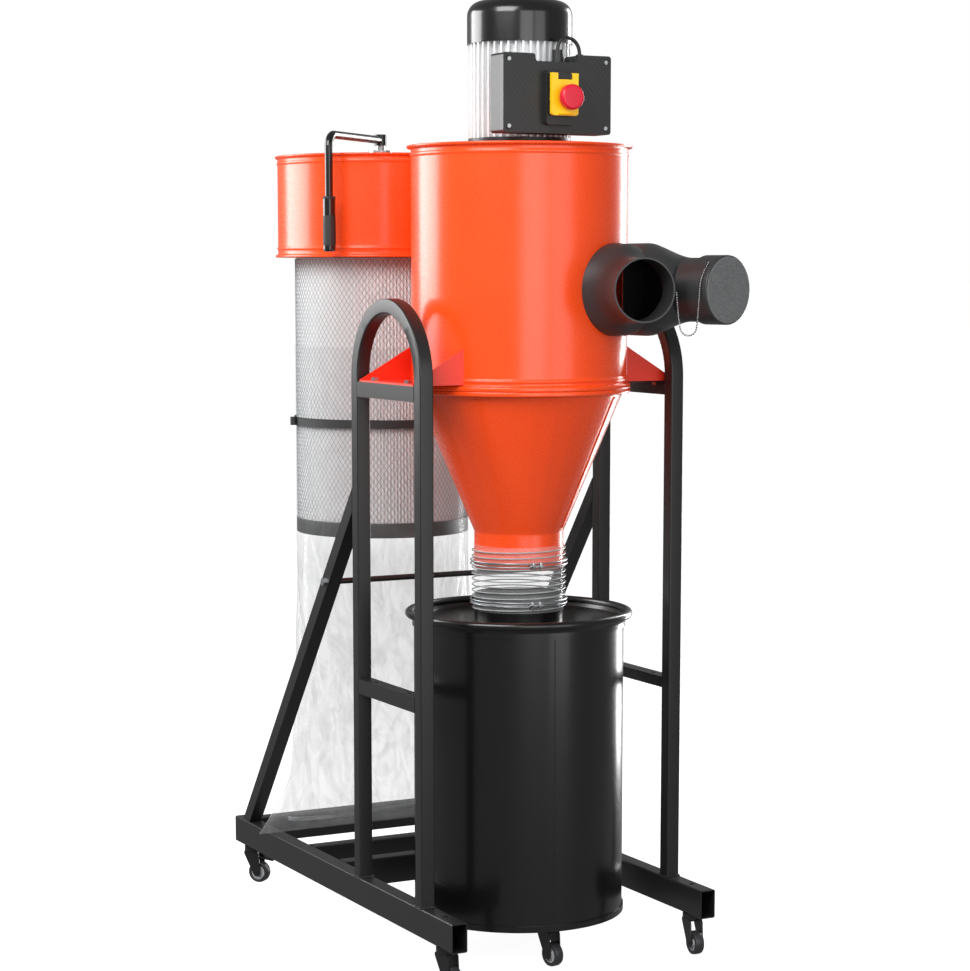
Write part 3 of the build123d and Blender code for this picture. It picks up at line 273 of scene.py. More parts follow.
# ----------------------------------------------
# Switch cable. Black rubber-sheathed lead from the gland in the box's notch round to a second
# entry in the top of the box.
# ----------------------------------------------
rubber, _, _ = finish_material("black sheath rubber", "#1B1B1C", "#232324", 0.5, 1.2, 0.02, 20.0)
cable_route = [(14.0, -102.0, 1488.0), (14.0, -102.0, 1499.0), (28.0, -102.0, 1509.0),
               (44.0, -102.0, 1505.0), (54.0, -102.0, 1492.0), (54.0, -102.0, 1482.0)]
cable_line, cable_path = spline_points(cable_route, "cable_line")
bpy.data.objects.remove(cable_line)
cable_path, cable_length = resample(cable_path, 0.001)
switch_cable = make_piece("switch_lead", *tube(cable_path, 0.003, 20), rubber, "machine", "black_rubber")
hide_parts("switch_cable")


# ----------------------------------------------
# Welded steel: base frame, hoops, angle bars, braces and tie rod. Cut square tube, welded and
# powder coated in semi-gloss black; the coat rounds over the tube's corners.
# ----------------------------------------------
def cad_piece(node, name, material, slot, smooth=32.0):
    """A piece with the CAD node's own shape, its triangles joined and smoothed up to an angle."""
    source = frame["nodes"][node]
    mesh = source.data
    points = np.zeros(len(mesh.vertices) * 3, np.float64)
    mesh.vertices.foreach_get("co", points)
    mesh.calc_loop_triangles()
    faces = np.zeros(len(mesh.loop_triangles) * 3, np.int64)
    mesh.loop_triangles.foreach_get("vertices", faces)
    piece = make_piece(name, points.reshape(-1, 3), faces.reshape(-1, 3), material, source["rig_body"], slot,
                       smooth, outward=False)
    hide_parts(node)
    return piece


powder_black, _, _ = finish_material("semi-gloss black powder coat", "#191919", "#202021", 0.36, 1.1, 0.03,
                                     80.0, IOR=1.5)
for node, name in (("base_frame", "welded_base"), ("left_hoop", "left_hoop_tube"),
                   ("right_hoop", "right_hoop_tube"), ("hoop_angles", "angle_bars"),
                   ("rear_braces", "brace_tubes"), ("tie_rod", "brace_tie_rod")):
    cad_piece(node, name, powder_black, "black_paint")

# Weld beads where each hoop stands on its rail, laid by hand in short ripples.
rail_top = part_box("base_frame")[1].z
seams = []
for side in (-1, 1):
    for y in (-0.112, 0.124):
        corner = 0.0124
        loop = np.array([(side * 0.232 + a * corner, y + b * corner, rail_top + 0.0006) for a, b in
                         ((-1, -1), (0, -1), (1, -1), (1, 0), (1, 1), (0, 1), (-1, 1), (-1, 0), (-1, -1))])
        line, _ = resample(loop, 0.0012)
        ripple = 0.0016 + 0.0005 * np.sin(np.arange(len(line)) * 1.9)
        seams.append(tube(line, ripple, 8))
make_piece("hoop_foot_welds", *joined(seams), powder_black, "machine", "black_paint")


# ----------------------------------------------
# Support brackets. Laser-cut and folded plate, welded to the barrel and bolted down to the
# upper angle bars, in the deeper red of a thicker coat.
# ----------------------------------------------
powder_red, _, _ = finish_material("deep orange powder coat on plate", "#E92E17", "#F0381C", 0.33, 1.2,
                                   0.03, 70.0, IOR=1.5)
cad_piece("support_brackets", "bracket_plates", powder_red, "bracket_paint")

zinc, _, _ = finish_material("bright zinc plate on steel", "#C9CCCE", "#AEB3B6", 0.32, 0.9, 0.01, 9.0,
                             Metallic=1.0)
cad_piece("fasteners", "bolts_nuts_screws", zinc, "zinc")
cad_piece("shaft_bearings", "bearing_rings", zinc, "zinc")


# ----------------------------------------------
# Cyclone barrel. Rolled and seam-welded sheet, 1.5 mm, with a rolled rim, two swaged beads and
# a turned-out flange at its foot. Gloss orange powder coat with a slight orange peel.
# ----------------------------------------------
def turned(profile, columns, centre=(0.0, 0.0), closed=False):
    """Surface of revolution: each (radius, height) of the profile, in mm, swept once round."""
    profile = np.asarray(profile, float) / 1000
    turn = np.linspace(0, 2 * np.pi, columns, endpoint=False)
    r, z = profile[:, 0][:, None], profile[:, 1][:, None]
    points = np.stack([centre[0] + r * np.cos(turn), centre[1] + r * np.sin(turn), z + 0 * turn], axis=-1)
    return points, grid_faces(len(profile), columns, True, closed)


def eased(profile, radius, closed=False, steps=4):
    """The profile with each corner eased by a quadratic curve that starts up to radius away from it."""
    p = np.asarray(profile, float)
    n, out = len(p), []
    for k in range(n):
        if not closed and k in (0, n - 1):
            out.append(p[k])
            continue
        before, after = p[k - 1] - p[k], p[(k + 1) % n] - p[k]
        cut = min(radius, 0.45 * np.linalg.norm(before), 0.45 * np.linalg.norm(after))
        a = p[k] + before / np.linalg.norm(before) * cut
        b = p[k] + after / np.linalg.norm(after) * cut
        for t in np.linspace(0, 1, steps):
            out.append((1 - t) ** 2 * a + 2 * t * (1 - t) * p[k] + t ** 2 * b)
    return np.array(out)


def filled(profile, step):
    """The profile with more points on its long runs, none further apart than step."""
    out = [profile[0]]
    for a, b in zip(profile[:-1], profile[1:]):
        count = max(int(np.ceil(np.linalg.norm(b - a) / step)), 1)
        out.extend(a + (b - a) * t for t in np.arange(1, count + 1) / count)
    return np.array(out)


def sheet_metal(piece, thickness_mm):
    """Gives an open surface its sheet thickness, to the inside."""
    wall = piece.modifiers.new("sheet", "SOLIDIFY")
    wall.thickness = thickness_mm / 1000
    wall.offset = -1.0
    wall.use_even_offset = True
    return piece


orange, _, orange_bsdf = finish_material(
    "gloss orange powder coat", "#FF4A10", "#FF531A", 0.27, 1.7, 0.006, 120.0, IOR=1.5)
orange_bsdf.inputs["Coat Weight"].default_value = 0.2
orange_bsdf.inputs["Coat Roughness"].default_value = 0.18

barrel_low, barrel_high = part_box("cyclone_barrel")
foot_z, rim_z = barrel_low.z * 1000, barrel_high.z * 1000
barrel_r = 178.0
barrel_profile = eased([
    (176.8, foot_z), (184.4, foot_z), (184.4, foot_z + 7.5), (barrel_r, foot_z + 8.5),
    (barrel_r, foot_z + 13), (barrel_r + 1.5, foot_z + 15), (barrel_r + 1.5, foot_z + 17.5),
    (barrel_r, foot_z + 19.5), (barrel_r, rim_z - 19), (barrel_r + 1.4, rim_z - 17),
    (barrel_r + 1.4, rim_z - 14), (barrel_r, rim_z - 12), (barrel_r, rim_z - 6),
    (185.0, rim_z - 4.5), (185.3, rim_z - 0.6), (177.4, rim_z)], 2.0)
points, faces = turned(filled(barrel_profile, 4.0), 320)
middle = points.reshape(-1, 3)[faces].mean(1) * 1000
inlet_low, inlet_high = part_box("inlet_fitting")
inlet_z = (inlet_low.z + inlet_high.z) * 500
off = np.hypot(middle[:, 0] - np.clip(middle[:, 0], 89.5, 143.5), middle[:, 2] - inlet_z)
faces = faces[(off > 69.5) | (middle[:, 1] > -44.0)]
barrel = make_piece("barrel_sheet", points, faces, orange, "machine", "orange_paint", smooth=50.0)
sheet_metal(barrel, 1.4)
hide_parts("cyclone_barrel")
cad_piece("barrel_roof", "barrel_roof_sheet", orange, "orange_paint")


# ----------------------------------------------
# Cone. Brake-formed from one sheet, so it keeps faint flats, then welded to its flange and to
# the rolled spout that the hose grips. Same orange coat.
# ----------------------------------------------
cone_low, cone_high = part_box("cyclone_cone")
cone_top = cone_high.z * 1000
spout_r, spout_z = 74.4, 708.0  # the rolled spout, and where the cone runs into it
mouth_r, mouth_z = 171.8, 938.6  # the cone's wide end, under its flange
cone_profile = filled(eased([
    (171.0, cone_top - 0.2), (184.4, cone_top - 0.2), (184.4, cone_top - 7.6), (mouth_r, cone_top - 8.4),
    (spout_r, spout_z), (spout_r, 694.0), (spout_r, cone_low.z * 1000)], 2.0), 9.0)
points, faces = turned(cone_profile, 360)
turn = np.linspace(0, 2 * np.pi, 360, endpoint=False)
flats = 26
flat = np.cos(np.pi / flats) / np.cos(np.mod(turn, 2 * np.pi / flats) - np.pi / flats)
share = (np.clip((cone_profile[:, 1] - 712) / 60, 0, 1)
         * np.clip((cone_top - 10 - cone_profile[:, 1]) / 25, 0, 1))
points[..., :2] *= (1 + 0.45 * share[:, None] * (flat[None, :] - 1))[..., None]
cone = make_piece("cone_sheet", points, faces, orange, "machine", "orange_paint", smooth=50.0)
sheet_metal(cone, 1.3)
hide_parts("cyclone_cone")

# The lap seam of the cone: a second thickness about 12 mm wide, down its right side.
seam_turn = np.radians(np.linspace(-54.0, -50.5, 5))
seam_z = np.linspace(716, 934, 30)
seam_r = spout_r + (seam_z - spout_z) / (mouth_z - spout_z) * (mouth_r - spout_r)
seam_r = seam_r[:, None] + np.array([-0.2, 0.9, 0.9, 0.9, -0.2])[None, :]
points = np.stack([seam_r * np.cos(seam_turn), seam_r * np.sin(seam_turn), seam_z[:, None] + 0 * seam_turn],
                  -1) / 1000
seam_piece = make_piece("cone_lap_seam", points, grid_faces(30, 5, False), orange, "machine",
                        "orange_paint", outward=False)
sheet_metal(seam_piece, 0.6)


# ----------------------------------------------
# Vortex tube, outlet duct and other sheet parts inside and behind the barrel.
# ----------------------------------------------
galvanised, _, _ = finish_material("galvanised sheet", "#B9BDC0", "#A4A9AD", 0.38, 14.0, 0.004, 30.0,
                                   Metallic=1.0)
cad_piece("vortex_finder", "vortex_tube", galvanised, "zinc")
cad_piece("filter_flapper", "flapper_vane", galvanised, "zinc")
cad_piece("outlet_duct", "outlet_duct_sheet", orange, "orange_paint")


# ----------------------------------------------
# Inlet fitting. Injection-moulded ABS: two horns that start together on the barrel's side and
# narrow to 102 mm ports, one to each side. Charcoal, with the fine spark texture of its mould.
# ----------------------------------------------
charcoal, _, _ = finish_material("charcoal moulded ABS", "#2A2B2C", "#313233", 0.42, 1.0, 0.03, 45.0,
                                 IOR=1.53)


bend_y, elbow_y = -168.0, -200.0  # the horns run straight back from bend_y; port axes meet elbow_y
wide_r, port_r, moulded = 74.5, 51.0, 3.0  # outside radii at the barrel and at a port; wall there
left_x, right_x = 89.5, 143.5  # where the two horns leave the barrel


def horn(body_x, port_x, angle, neck, end, wide, narrow, back, reach=0.0):
    """A closed horn along a bent line, its radius falling from wide to narrow on a smooth step.

    neck and end are distances along the port's axis, in mm, where it becomes a plain pipe and where it ends.
    """
    out = np.array([np.sin(np.radians(angle)), -np.cos(np.radians(angle)), 0.0])
    start = np.array([body_x, back, inlet_z])
    bend = np.array([body_x, bend_y, inlet_z])
    mouth = np.array([port_x, elbow_y, inlet_z]) + out * (end + reach)
    pipe = np.array([port_x, elbow_y, inlet_z]) + out * neck
    t = np.linspace(0, 1, 26)[:, None]
    control = pipe - out * 26.0
    bent = ((1 - t) ** 3 * bend + 3 * (1 - t) ** 2 * t * (bend + (bend - start) * 0.2)
            + 3 * (1 - t) * t ** 2 * control + t ** 3 * pipe)
    line = np.concatenate([start + (bend - start) * np.linspace(0, 1, 6)[:-1, None], bent,
                           pipe + (mouth - pipe) * np.linspace(0, 1, 8)[1:, None]])
    step = 0.5 - 0.5 * np.cos(np.pi * t[:, 0] ** 1.15)
    radius = np.concatenate([np.full(5, wide), wide + (narrow - wide) * step, np.full(7, narrow)])
    return tube(line / 1000, radius / 1000, 96)


def solid(name, points, faces):
    """A plain closed mesh object, used up by a boolean."""
    return make_piece(name, points, faces, charcoal, None, "charcoal_plastic")


def cut(target, tool, how):
    """Joins or cuts target with tool, applies it, and removes the tool."""
    step = target.modifiers.new("cut", "BOOLEAN")
    step.operation, step.object, step.solver = how, tool, "EXACT"
    bpy.context.view_layer.update()
    mesh = bpy.data.meshes.new_from_object(target.evaluated_get(bpy.context.evaluated_depsgraph_get()))
    target.modifiers.clear()
    target.data = mesh
    bpy.data.objects.remove(tool)
    return target


left_horn = (left_x, 84.0, -10.0, 38.0, 86.0)
right_horn = (right_x, 181.0, 18.0, 30.0, 102.0)
fitting = solid("inlet_moulding", *horn(*left_horn, wide_r, port_r, -40.0))
cut(fitting, solid("horn_b", *horn(*right_horn, wide_r, port_r, -40.0)), "UNION")
hollow = solid("horn_c", *horn(*left_horn, wide_r - moulded, 48.5, -43.0, 4.0))
cut(hollow, solid("horn_d", *horn(*right_horn, wide_r - moulded, 48.5, -43.0, 4.0)), "UNION")
cut(fitting, hollow, "DIFFERENCE")
cut(fitting, solid("barrel_core", *turned([(0, 1000), (178.1, 1000), (178.1, 1220), (0, 1220)], 180)),
    "DIFFERENCE")
fitting.data.materials.clear()
fitting.data.materials.append(charcoal)
bm = bmesh.new()
bm.from_mesh(fitting.data)
bmesh.ops.remove_doubles(bm, verts=bm.verts, dist=1e-5)
shade(bm, 38)
bm.to_mesh(fitting.data)
bm.free()
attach(fitting, "machine")
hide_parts("inlet_fitting")


# ----------------------------------------------
# Port cap. Moulded cup, pushed on the right port by hand; its face is coarsely speckled.
# ----------------------------------------------
cad_piece("port_cap", "cap_moulding", charcoal, "charcoal_plastic")
speckled, _, _ = finish_material(
    "speckled charcoal ABS", "#3E3F40", "#8A8B8C", 0.55, 2.2, 0.12, 2.6, IOR=1.53)
cap_joint = [j for j in frame["joints"] if j["name"] == "port_cap_pull"][0]
cap_out = np.array(cap_joint["axis"])
cap_side = np.array([cap_out[1], -cap_out[0], 0.0])
cap_centre = np.array([0.181, -0.200, inlet_z / 1000]) + cap_out * 0.10625
ring_r = np.array([0.0, 15.0, 30.0, 45.0, 51.0, 52.4, 52.9]) / 1000
ring_h = np.array([0.25, 0.25, 0.25, 0.25, 0.25, 0.1, -0.3]) / 1000
turn = np.linspace(0, 2 * np.pi, 96, endpoint=False)
points = (cap_centre + ring_h[:, None, None] * cap_out
          + ring_r[:, None, None] * (np.cos(turn)[None, :, None] * cap_side
                                     + np.sin(turn)[None, :, None] * np.array([0, 0, 1.0])))
cap_face = make_piece("cap_face", points, grid_faces(7, 96, True), speckled, "port_cap", "charcoal_plastic",
                      outward=False)
bm = bmesh.new()
bm.from_mesh(cap_face.data)
bm.faces.ensure_lookup_table()
if bm.faces[0].normal.dot(Vector(cap_out)) < 0:
    bmesh.ops.reverse_faces(bm, faces=bm.faces)
bm.to_mesh(cap_face.data)
bm.free()


# ----------------------------------------------
# Filter housing. Rolled sheet drum with rims and a swaged bead at each end, same orange coat.
# ----------------------------------------------
housing_low, housing_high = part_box("filter_housing")
filter_centre = ((housing_low.x + housing_high.x) / 2, (housing_low.y + housing_high.y) / 2)
low_z, high_z = housing_low.z * 1000, housing_high.z * 1000
housing_profile = eased([
    (112.0, low_z + 0.2), (186.0, low_z + 0.2), (192.4, low_z), (192.6, low_z + 4),
    (188.0, low_z + 6), (188.0, low_z + 13), (189.4, low_z + 15), (189.4, low_z + 17.5),
    (188.0, low_z + 19.5), (188.0, high_z - 17), (189.3, high_z - 15), (189.3, high_z - 12.5),
    (188.0, high_z - 11), (188.0, high_z - 6), (192.4, high_z - 4), (192.6, high_z - 0.8),
    (187.4, high_z), (186.4, high_z - 3.0), (9.0, high_z - 3.0)], 1.6)
housing = make_piece("housing_sheet", *turned(filled(housing_profile, 20.0), 320, filter_centre), orange,
                     "machine", "orange_paint", smooth=50.0)
sheet_metal(housing, 1.4)
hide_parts("filter_housing")


# ----------------------------------------------
# Filter cartridge. Pleated white polyester, about 160 pleats, under a net of galvanised wire in
# long diamonds, in a dark sheet ring at its lower end.
# ----------------------------------------------
cart_low, cart_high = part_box("filter_cartridge")
cart_r = 157.0
cloth, _, cloth_bsdf = finish_material("spun polyester filter cloth", "#F4F4F4", "#E9EAEB", 0.85, 1.4, 0.12,
                                       25.0)
cloth_bsdf.inputs["Sheen Weight"].default_value = 0.25
pleats = 160
turn = np.linspace(0, 2 * np.pi, pleats * 4, endpoint=False)
wave = cart_r - 4.6 + 3.0 * (2 * np.abs(np.mod(turn * pleats / (2 * np.pi), 1) * 2 - 1) - 1)
rows_z = np.linspace(cart_low.z + 0.02, cart_high.z - 0.0005, 14)
drift = 0.0016 * np.sin(rows_z * 9.0)[:, None] * np.sin(turn * 5)[None, :]
r = wave[None, :] / 1000
points = np.stack([filter_centre[0] + r * np.cos(turn + drift * 4),
                   filter_centre[1] + r * np.sin(turn + drift * 4),
                   rows_z[:, None] + 0 * r], axis=-1)
pleated = make_piece("pleated_cloth", points, grid_faces(14, pleats * 4, True), cloth, "machine",
                     "filter_cloth", smooth=20.0)
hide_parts("filter_cartridge")

wire_mesh, _, _ = finish_material("galvanised net wire", "#A3A6A8", "#8E9193", 0.5, 1.0, 0.01, 18.0,
                                  Metallic=0.2)
strands, cell_h = 104, 14.0
height = (cart_high.z - cart_low.z) * 1000 - 20
turns_of_strand = height / cell_h / strands
steps = np.linspace(0, 1, int(height / 5.0))
wires = []
for way in (-1, 1):
    start = np.arange(strands) * 2 * np.pi / strands
    angle = start[:, None] + way * steps[None, :] * turns_of_strand * 2 * np.pi
    lift = cart_low.z * 1000 + 18 + steps[None, :] * height + 0 * angle
    across = np.array([[-0.5, 0.0], [0.0, 0.55], [0.5, 0.0], [0.0, -0.4]])
    rr = cart_r + 0.5 + across[None, None, :, 1]
    aa = angle[..., None] + across[None, None, :, 0] / cart_r
    ring = np.stack([filter_centre[0] + rr / 1000 * np.cos(aa), filter_centre[1] + rr / 1000 * np.sin(aa),
                     (lift[..., None] + 0 * aa) / 1000], axis=-1)
    one = grid_faces(len(steps), 4, True)
    many = (one[None] + (np.arange(strands) * len(steps) * 4)[:, None, None]).reshape(-1, 4)
    wires.append((ring, many))
make_piece("wire_net", *joined(wires), wire_mesh, "machine", "zinc", smooth=80.0, merge=False,
           outward=False)

dark_ring, _, _ = finish_material("dark plastisol end ring", "#2E2F30", "#262728", 0.5, 1.6, 0.05, 40.0)
end_profile = eased([(112.5, 661.2), (158.6, 661.2), (158.6, 687.5), (112.5, 687.5)], 1.2, True)
make_piece("cartridge_end_ring", *turned(end_profile, 240, filter_centre, True), dark_ring, "machine",
           "filter_cloth", smooth=50.0)
make_piece("cartridge_core", *turned(eased([(112.4, 662.0), (113.4, 662.0), (113.4, 1161.0),
                                            (112.4, 1161.0)], 0.2, True), 120, filter_centre, True),
           galvanised, "machine", "zinc")


# ----------------------------------------------
# Dust bag. Clear polyethylene film, one tube of it, pulled up round the cartridge and strapped
# there; it hangs open below, falls flat across at its foot and ends in a doubled, sealed edge.
# ----------------------------------------------
def film_material(name, colour, clear, rough):
    """See-through gloss film, less clear along its creases and clearest above 0.68 m, on the cartridge."""
    material, tree, bsdf = finish_material(name, colour, "#BDBEBF", rough, 9.0, 0.12, 40.0, IOR=1.5)
    where = add(tree, "ShaderNodeTexCoord")
    stretch = add(tree, "ShaderNodeMapping", {"Vector": where.outputs["Object"], "Scale": (14.0, 14.0, 5.0),
                                              "Rotation": (0.5, 0.3, 0.0)})
    crease = add(tree, "ShaderNodeTexNoise", {"Vector": stretch.outputs["Vector"], "Scale": 2.2,
                                              "Detail": 5.0, "Distortion": 1.6})
    line = add(tree, "ShaderNodeMapRange", {"Value": crease.outputs["Fac"], "From Min": 0.42,
                                            "From Max": 0.66, "To Min": clear, "To Max": clear + 0.14})
    place = add(tree, "ShaderNodeSeparateXYZ", {"Vector": where.outputs["Object"]})
    cling = add(tree, "ShaderNodeMapRange", {"Value": place.outputs["Z"], "From Min": 0.60,
                                             "From Max": 0.68, "To Min": 1.0, "To Max": 0.45})
    both = add(tree, "ShaderNodeMath", {0: line.outputs["Result"], 1: cling.outputs["Result"]},
               operation="MULTIPLY")
    tree.links.new(both.outputs["Value"], bsdf.inputs["Alpha"])
    return material


film = film_material("clear polyethylene film", "#A6A8A9", 0.2, 0.16)
bag_low, bag_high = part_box("dust_bag")
bag_turns, bag_rows = 380, 230
theta = np.linspace(0, 2 * np.pi, bag_turns, endpoint=False)[None, :]
height = np.linspace(bag_high.z * 1000, bag_low.z * 1000, bag_rows)[:, None]
tube_r = 159.7  # round the cartridge
open_z, flat_z = 640.0, 150.0  # the film leaves the cartridge, and lies flat across
flat_x, flat_y = 211.0, 46.0  # half its width and depth down there
fall = np.clip((open_z - height) / (open_z - flat_z), 0, 1)
spread = fall * fall * (3 - 2 * fall)
lip = np.clip((flat_z - height) / 30.0, 0, 1)
half_x = tube_r + (flat_x - tube_r) * fall ** 1.35
half_y = (tube_r + (flat_y - tube_r) * spread) * (1 - lip) + 2.5 * lip
middle_y = filter_centre[1] * 1000 + (498.0 - filter_centre[1] * 1000) * spread


def folds(theta, height, seeds):
    """Creased film: a sum of ridges 1 - |sin| that wander slowly, each with its own soft weight."""
    total = 0
    for k, (around, down, shift, weight) in enumerate(seeds):
        bend = 0.5 * np.sin(height / (60.0 + 17 * k) + 2 * theta + shift)
        ridge = 1 - np.abs(np.sin(around * theta + height / down + shift + bend))
        where = 0.5 + 0.5 * np.sin((k + 2) * theta + height / (45.0 + 11 * k) + 1.7 * shift)
        total = total + weight * ridge ** 3 * where
    return total


crease = folds(theta, height, [(3, 160.0, 0.3, 1.0), (-5, 120.0, 1.9, 0.8), (7, 90.0, 4.1, 0.45),
                               (-9, 70.0, 2.6, 0.3), (2, -110.0, 5.2, 0.8), (13, 45.0, 0.8, 0.12)])
crease = crease / crease.max()
grip = np.exp(-((height - 866.0) / 22.0) ** 2)
loose = np.clip((648.0 - height) / 60.0, 0, 1) * (1 - 0.8 * lip)
push = 0.8 * crease * (1 - loose) - 15.0 * crease * loose - 0.8 * grip
flare = 1.5 * np.clip((height - 985.0) / 18.0, 0, 1) * (0.4 + 0.6 * np.sin(9 * theta) ** 2)
x = (half_x + push + flare) * np.cos(theta) - 3.0
y = middle_y + (half_y + np.where(half_y > 40, push, push * half_y / 40) + flare) * np.sin(theta)
x = np.where(height > open_z, x + 3.0, x + 3.0 * (1 - fall))
corner = np.clip((232.0 - height) / 112.0, 0, 1)
x = x - 54.0 * corner ** 1.6 * np.clip(-np.cos(theta), 0, 1) ** 4
points = np.stack([x, y, height + 0 * theta], axis=-1) / 1000
dust_bag = make_piece("bag_film", points, grid_faces(bag_rows, bag_turns, True), film, "machine",
                      "clear_film", smooth=60.0)
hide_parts("dust_bag")

sealed = film_material("doubled film at the bag's foot", "#8E9294", 0.6, 0.2)
seal_t = np.linspace(-1, 1, 90)
seal_h = np.linspace(0, 1, 5)[:, None]
seal_points = np.stack([-3 + 209 * seal_t[None, :] + 0 * seal_h,
                        496.0 - 34 * np.sqrt(np.clip(1 - seal_t[None, :] ** 2, 0, 1)) - 1.2 + 0 * seal_h,
                        143 + 5 * np.sin(seal_t[None, :] * 2.2 + 0.4) + 8 * seal_h], axis=-1) / 1000
seal_band = make_piece("bag_foot_seal", seal_points, grid_faces(5, 90, False), sealed, "machine",
                       "clear_film", outward=False)
sheet_metal(seal_band, 0.3)

webbing, _, _ = finish_material("black polypropylene webbing", "#232425", "#2D2E2F", 0.62, 1.6, 0.25, 4.0)
cad_piece("bag_strap", "bag_strap_and_knob", webbing, "strap_web")


# ----------------------------------------------
# Crank. Bent steel tube in gloss black, with a moulded rubber grip pushed on its hanging end;
# it turns the flapper that knocks dust out of the pleats.
# ----------------------------------------------
gloss_black, _, gloss_bsdf = finish_material("gloss black enamel on steel", "#0C0C0D", "#121213", 0.24, 2.4,
                                             0.012, 90.0, IOR=1.5)
gloss_bsdf.inputs["Coat Weight"].default_value = 0.4
gloss_bsdf.inputs["Coat Roughness"].default_value = 0.1
crank = cad_piece("crank_arm", "crank_tube", gloss_black, "black_paint")
ends = np.array([v.co for v in crank.data.vertices])
ends = ends[ends[:, 2] < 1.25]
grip_x, grip_y = (ends[:, :2].min(0) + ends[:, :2].max(0)) / 2
grip_low = ends[:, 2].min() * 1000
grip_profile = eased([(0.0, grip_low - 0.4), (8.2, grip_low - 0.4), (10.4, grip_low + 3),
                      (11.5, grip_low + 16), (11.3, grip_low + 52),
                      (10.4, grip_low + 80), (10.2, grip_low + 90), (11.3, grip_low + 91),
                      (11.3, grip_low + 94.5), (7.2, grip_low + 95.5), (7.0, grip_low + 88.0)], 1.5)
grip_rubber, _, _ = finish_material("black moulded grip rubber", "#262728", "#2E2F30", 0.6, 1.1, 0.05, 30.0)
make_piece("crank_grip", *turned(filled(grip_profile, 2.0), 48, (grip_x, grip_y)), grip_rubber, "crank",
           "black_rubber")


# ----------------------------------------------
# Motor. Extruded aluminium body with upright cooling fins on a black cast base, stator and
# rotor inside it, and the fan wheel below the roof on the same shaft.
# ----------------------------------------------
cast_black, _, _ = finish_material("black cast iron, painted", "#161617", "#1E1E1F", 0.4, 2.0, 0.08, 25.0,
                                   IOR=1.5)
cad_piece("motor_base", "motor_base_casting", cast_black, "black_paint")

aluminium, _, _ = finish_material("extruded aluminium, mill finish", "#EDEEEF", "#E2E4E5", 0.36, 0.7, 0.006,
                                  26.0, Metallic=0.25)
cad_piece("motor_body", "motor_body_extrusion", aluminium, "motor_alloy", 25.0)

laminated, _, _ = finish_material("laminated iron, varnished", "#4A4440", "#5A4A38", 0.5, 0.6, 0.05, 12.0,
                                  Metallic=0.5)
cad_piece("motor_stator", "stator_stack", laminated, "stator_iron")
cad_piece("motor_rotor", "rotor_and_shaft", laminated, "stator_iron")
cad_piece("impeller", "impeller_wheel", galvanised, "zinc")


# ----------------------------------------------
# Fan cowl. Deep-drawn steel in gloss black, over the cooling fan, held by small screws.
# ----------------------------------------------
cad_piece("fan_cowl", "fan_cowl_pressing", gloss_black, "black_plastic", 40.0)


# ----------------------------------------------
# Capacitor box. Moulded in black ABS; its lid's face has a fine slanting hatch from the mould,
# drawn 1.6 mm apart so that it can be seen.
# ----------------------------------------------
abs_black, _, _ = finish_material("black moulded ABS", "#1C1D1D", "#222323", 0.42, 0.9, 0.04, 35.0,
                                  IOR=1.53)
cad_piece("capacitor_box", "box_moulding", abs_black, "black_plastic")
hatched, hatch_tree, hatch_bsdf = finish_material("black ABS with slanting hatch", "#1D1E1E", "#252626",
                                                  0.4, 0.9, 0.03, 35.0, IOR=1.53)
hatch_where = add(hatch_tree, "ShaderNodeTexCoord")
hatch_turn = add(hatch_tree, "ShaderNodeMapping", {"Vector": hatch_where.outputs["Object"],
                                                   "Rotation": (0.0, 0.7, 0.0)})
hatch_lines = add(hatch_tree, "ShaderNodeTexWave", {"Vector": hatch_turn.outputs["Vector"],
                                                    "Scale": 1000 / (1.6 * 6.283) * 0.5},
                  bands_direction="X")
hatch_bump = add(hatch_tree, "ShaderNodeBump", {"Height": hatch_lines.outputs["Fac"], "Distance": 0.00012,
                                                "Strength": 0.5})
hatch_tree.links.new(hatch_bump.outputs["Normal"], hatch_bsdf.inputs["Normal"])
cad_piece("capacitor_box_lid", "box_lid_moulding", hatched, "black_plastic")

can, _, _ = finish_material("drawn aluminium can", "#C9CBCD", "#B9BBBE", 0.35, 0.8, 0.01, 20.0,
                            Metallic=1.0)
cad_piece("capacitors", "capacitor_cans", can, "motor_alloy")
cad_piece("cable_glands", "cable_gland_nuts", abs_black, "black_plastic")

box_low, box_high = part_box("capacitor_box_lid")
screw_profile = [(0.0, 0.3), (1.1, 0.3), (1.2, 1.0), (2.9, 0.9), (3.2, 0.4), (3.2, -0.6)]
lid_screws = []
for screw_x in (box_low.x * 1000 + 8, box_high.x * 1000 - 8):
    for screw_z in (box_low.z * 1000 + 8, box_high.z * 1000 - 8):
        screw_points, screw_faces = turned(screw_profile, 16)
        screw_points = np.stack([screw_points[..., 0] + screw_x / 1000,
                                 box_low.y - screw_points[..., 2] + 0.0001,
                                 screw_points[..., 1] + screw_z / 1000], axis=-1)
        lid_screws.append((screw_points, screw_faces))
black_zinc, _, _ = finish_material("black zinc plate", "#2A2B2C", "#363738", 0.35, 0.8, 0.01, 9.0,
                                   Metallic=0.8)
make_piece("box_lid_screws", *joined(lid_screws), black_zinc, "machine", "zinc")


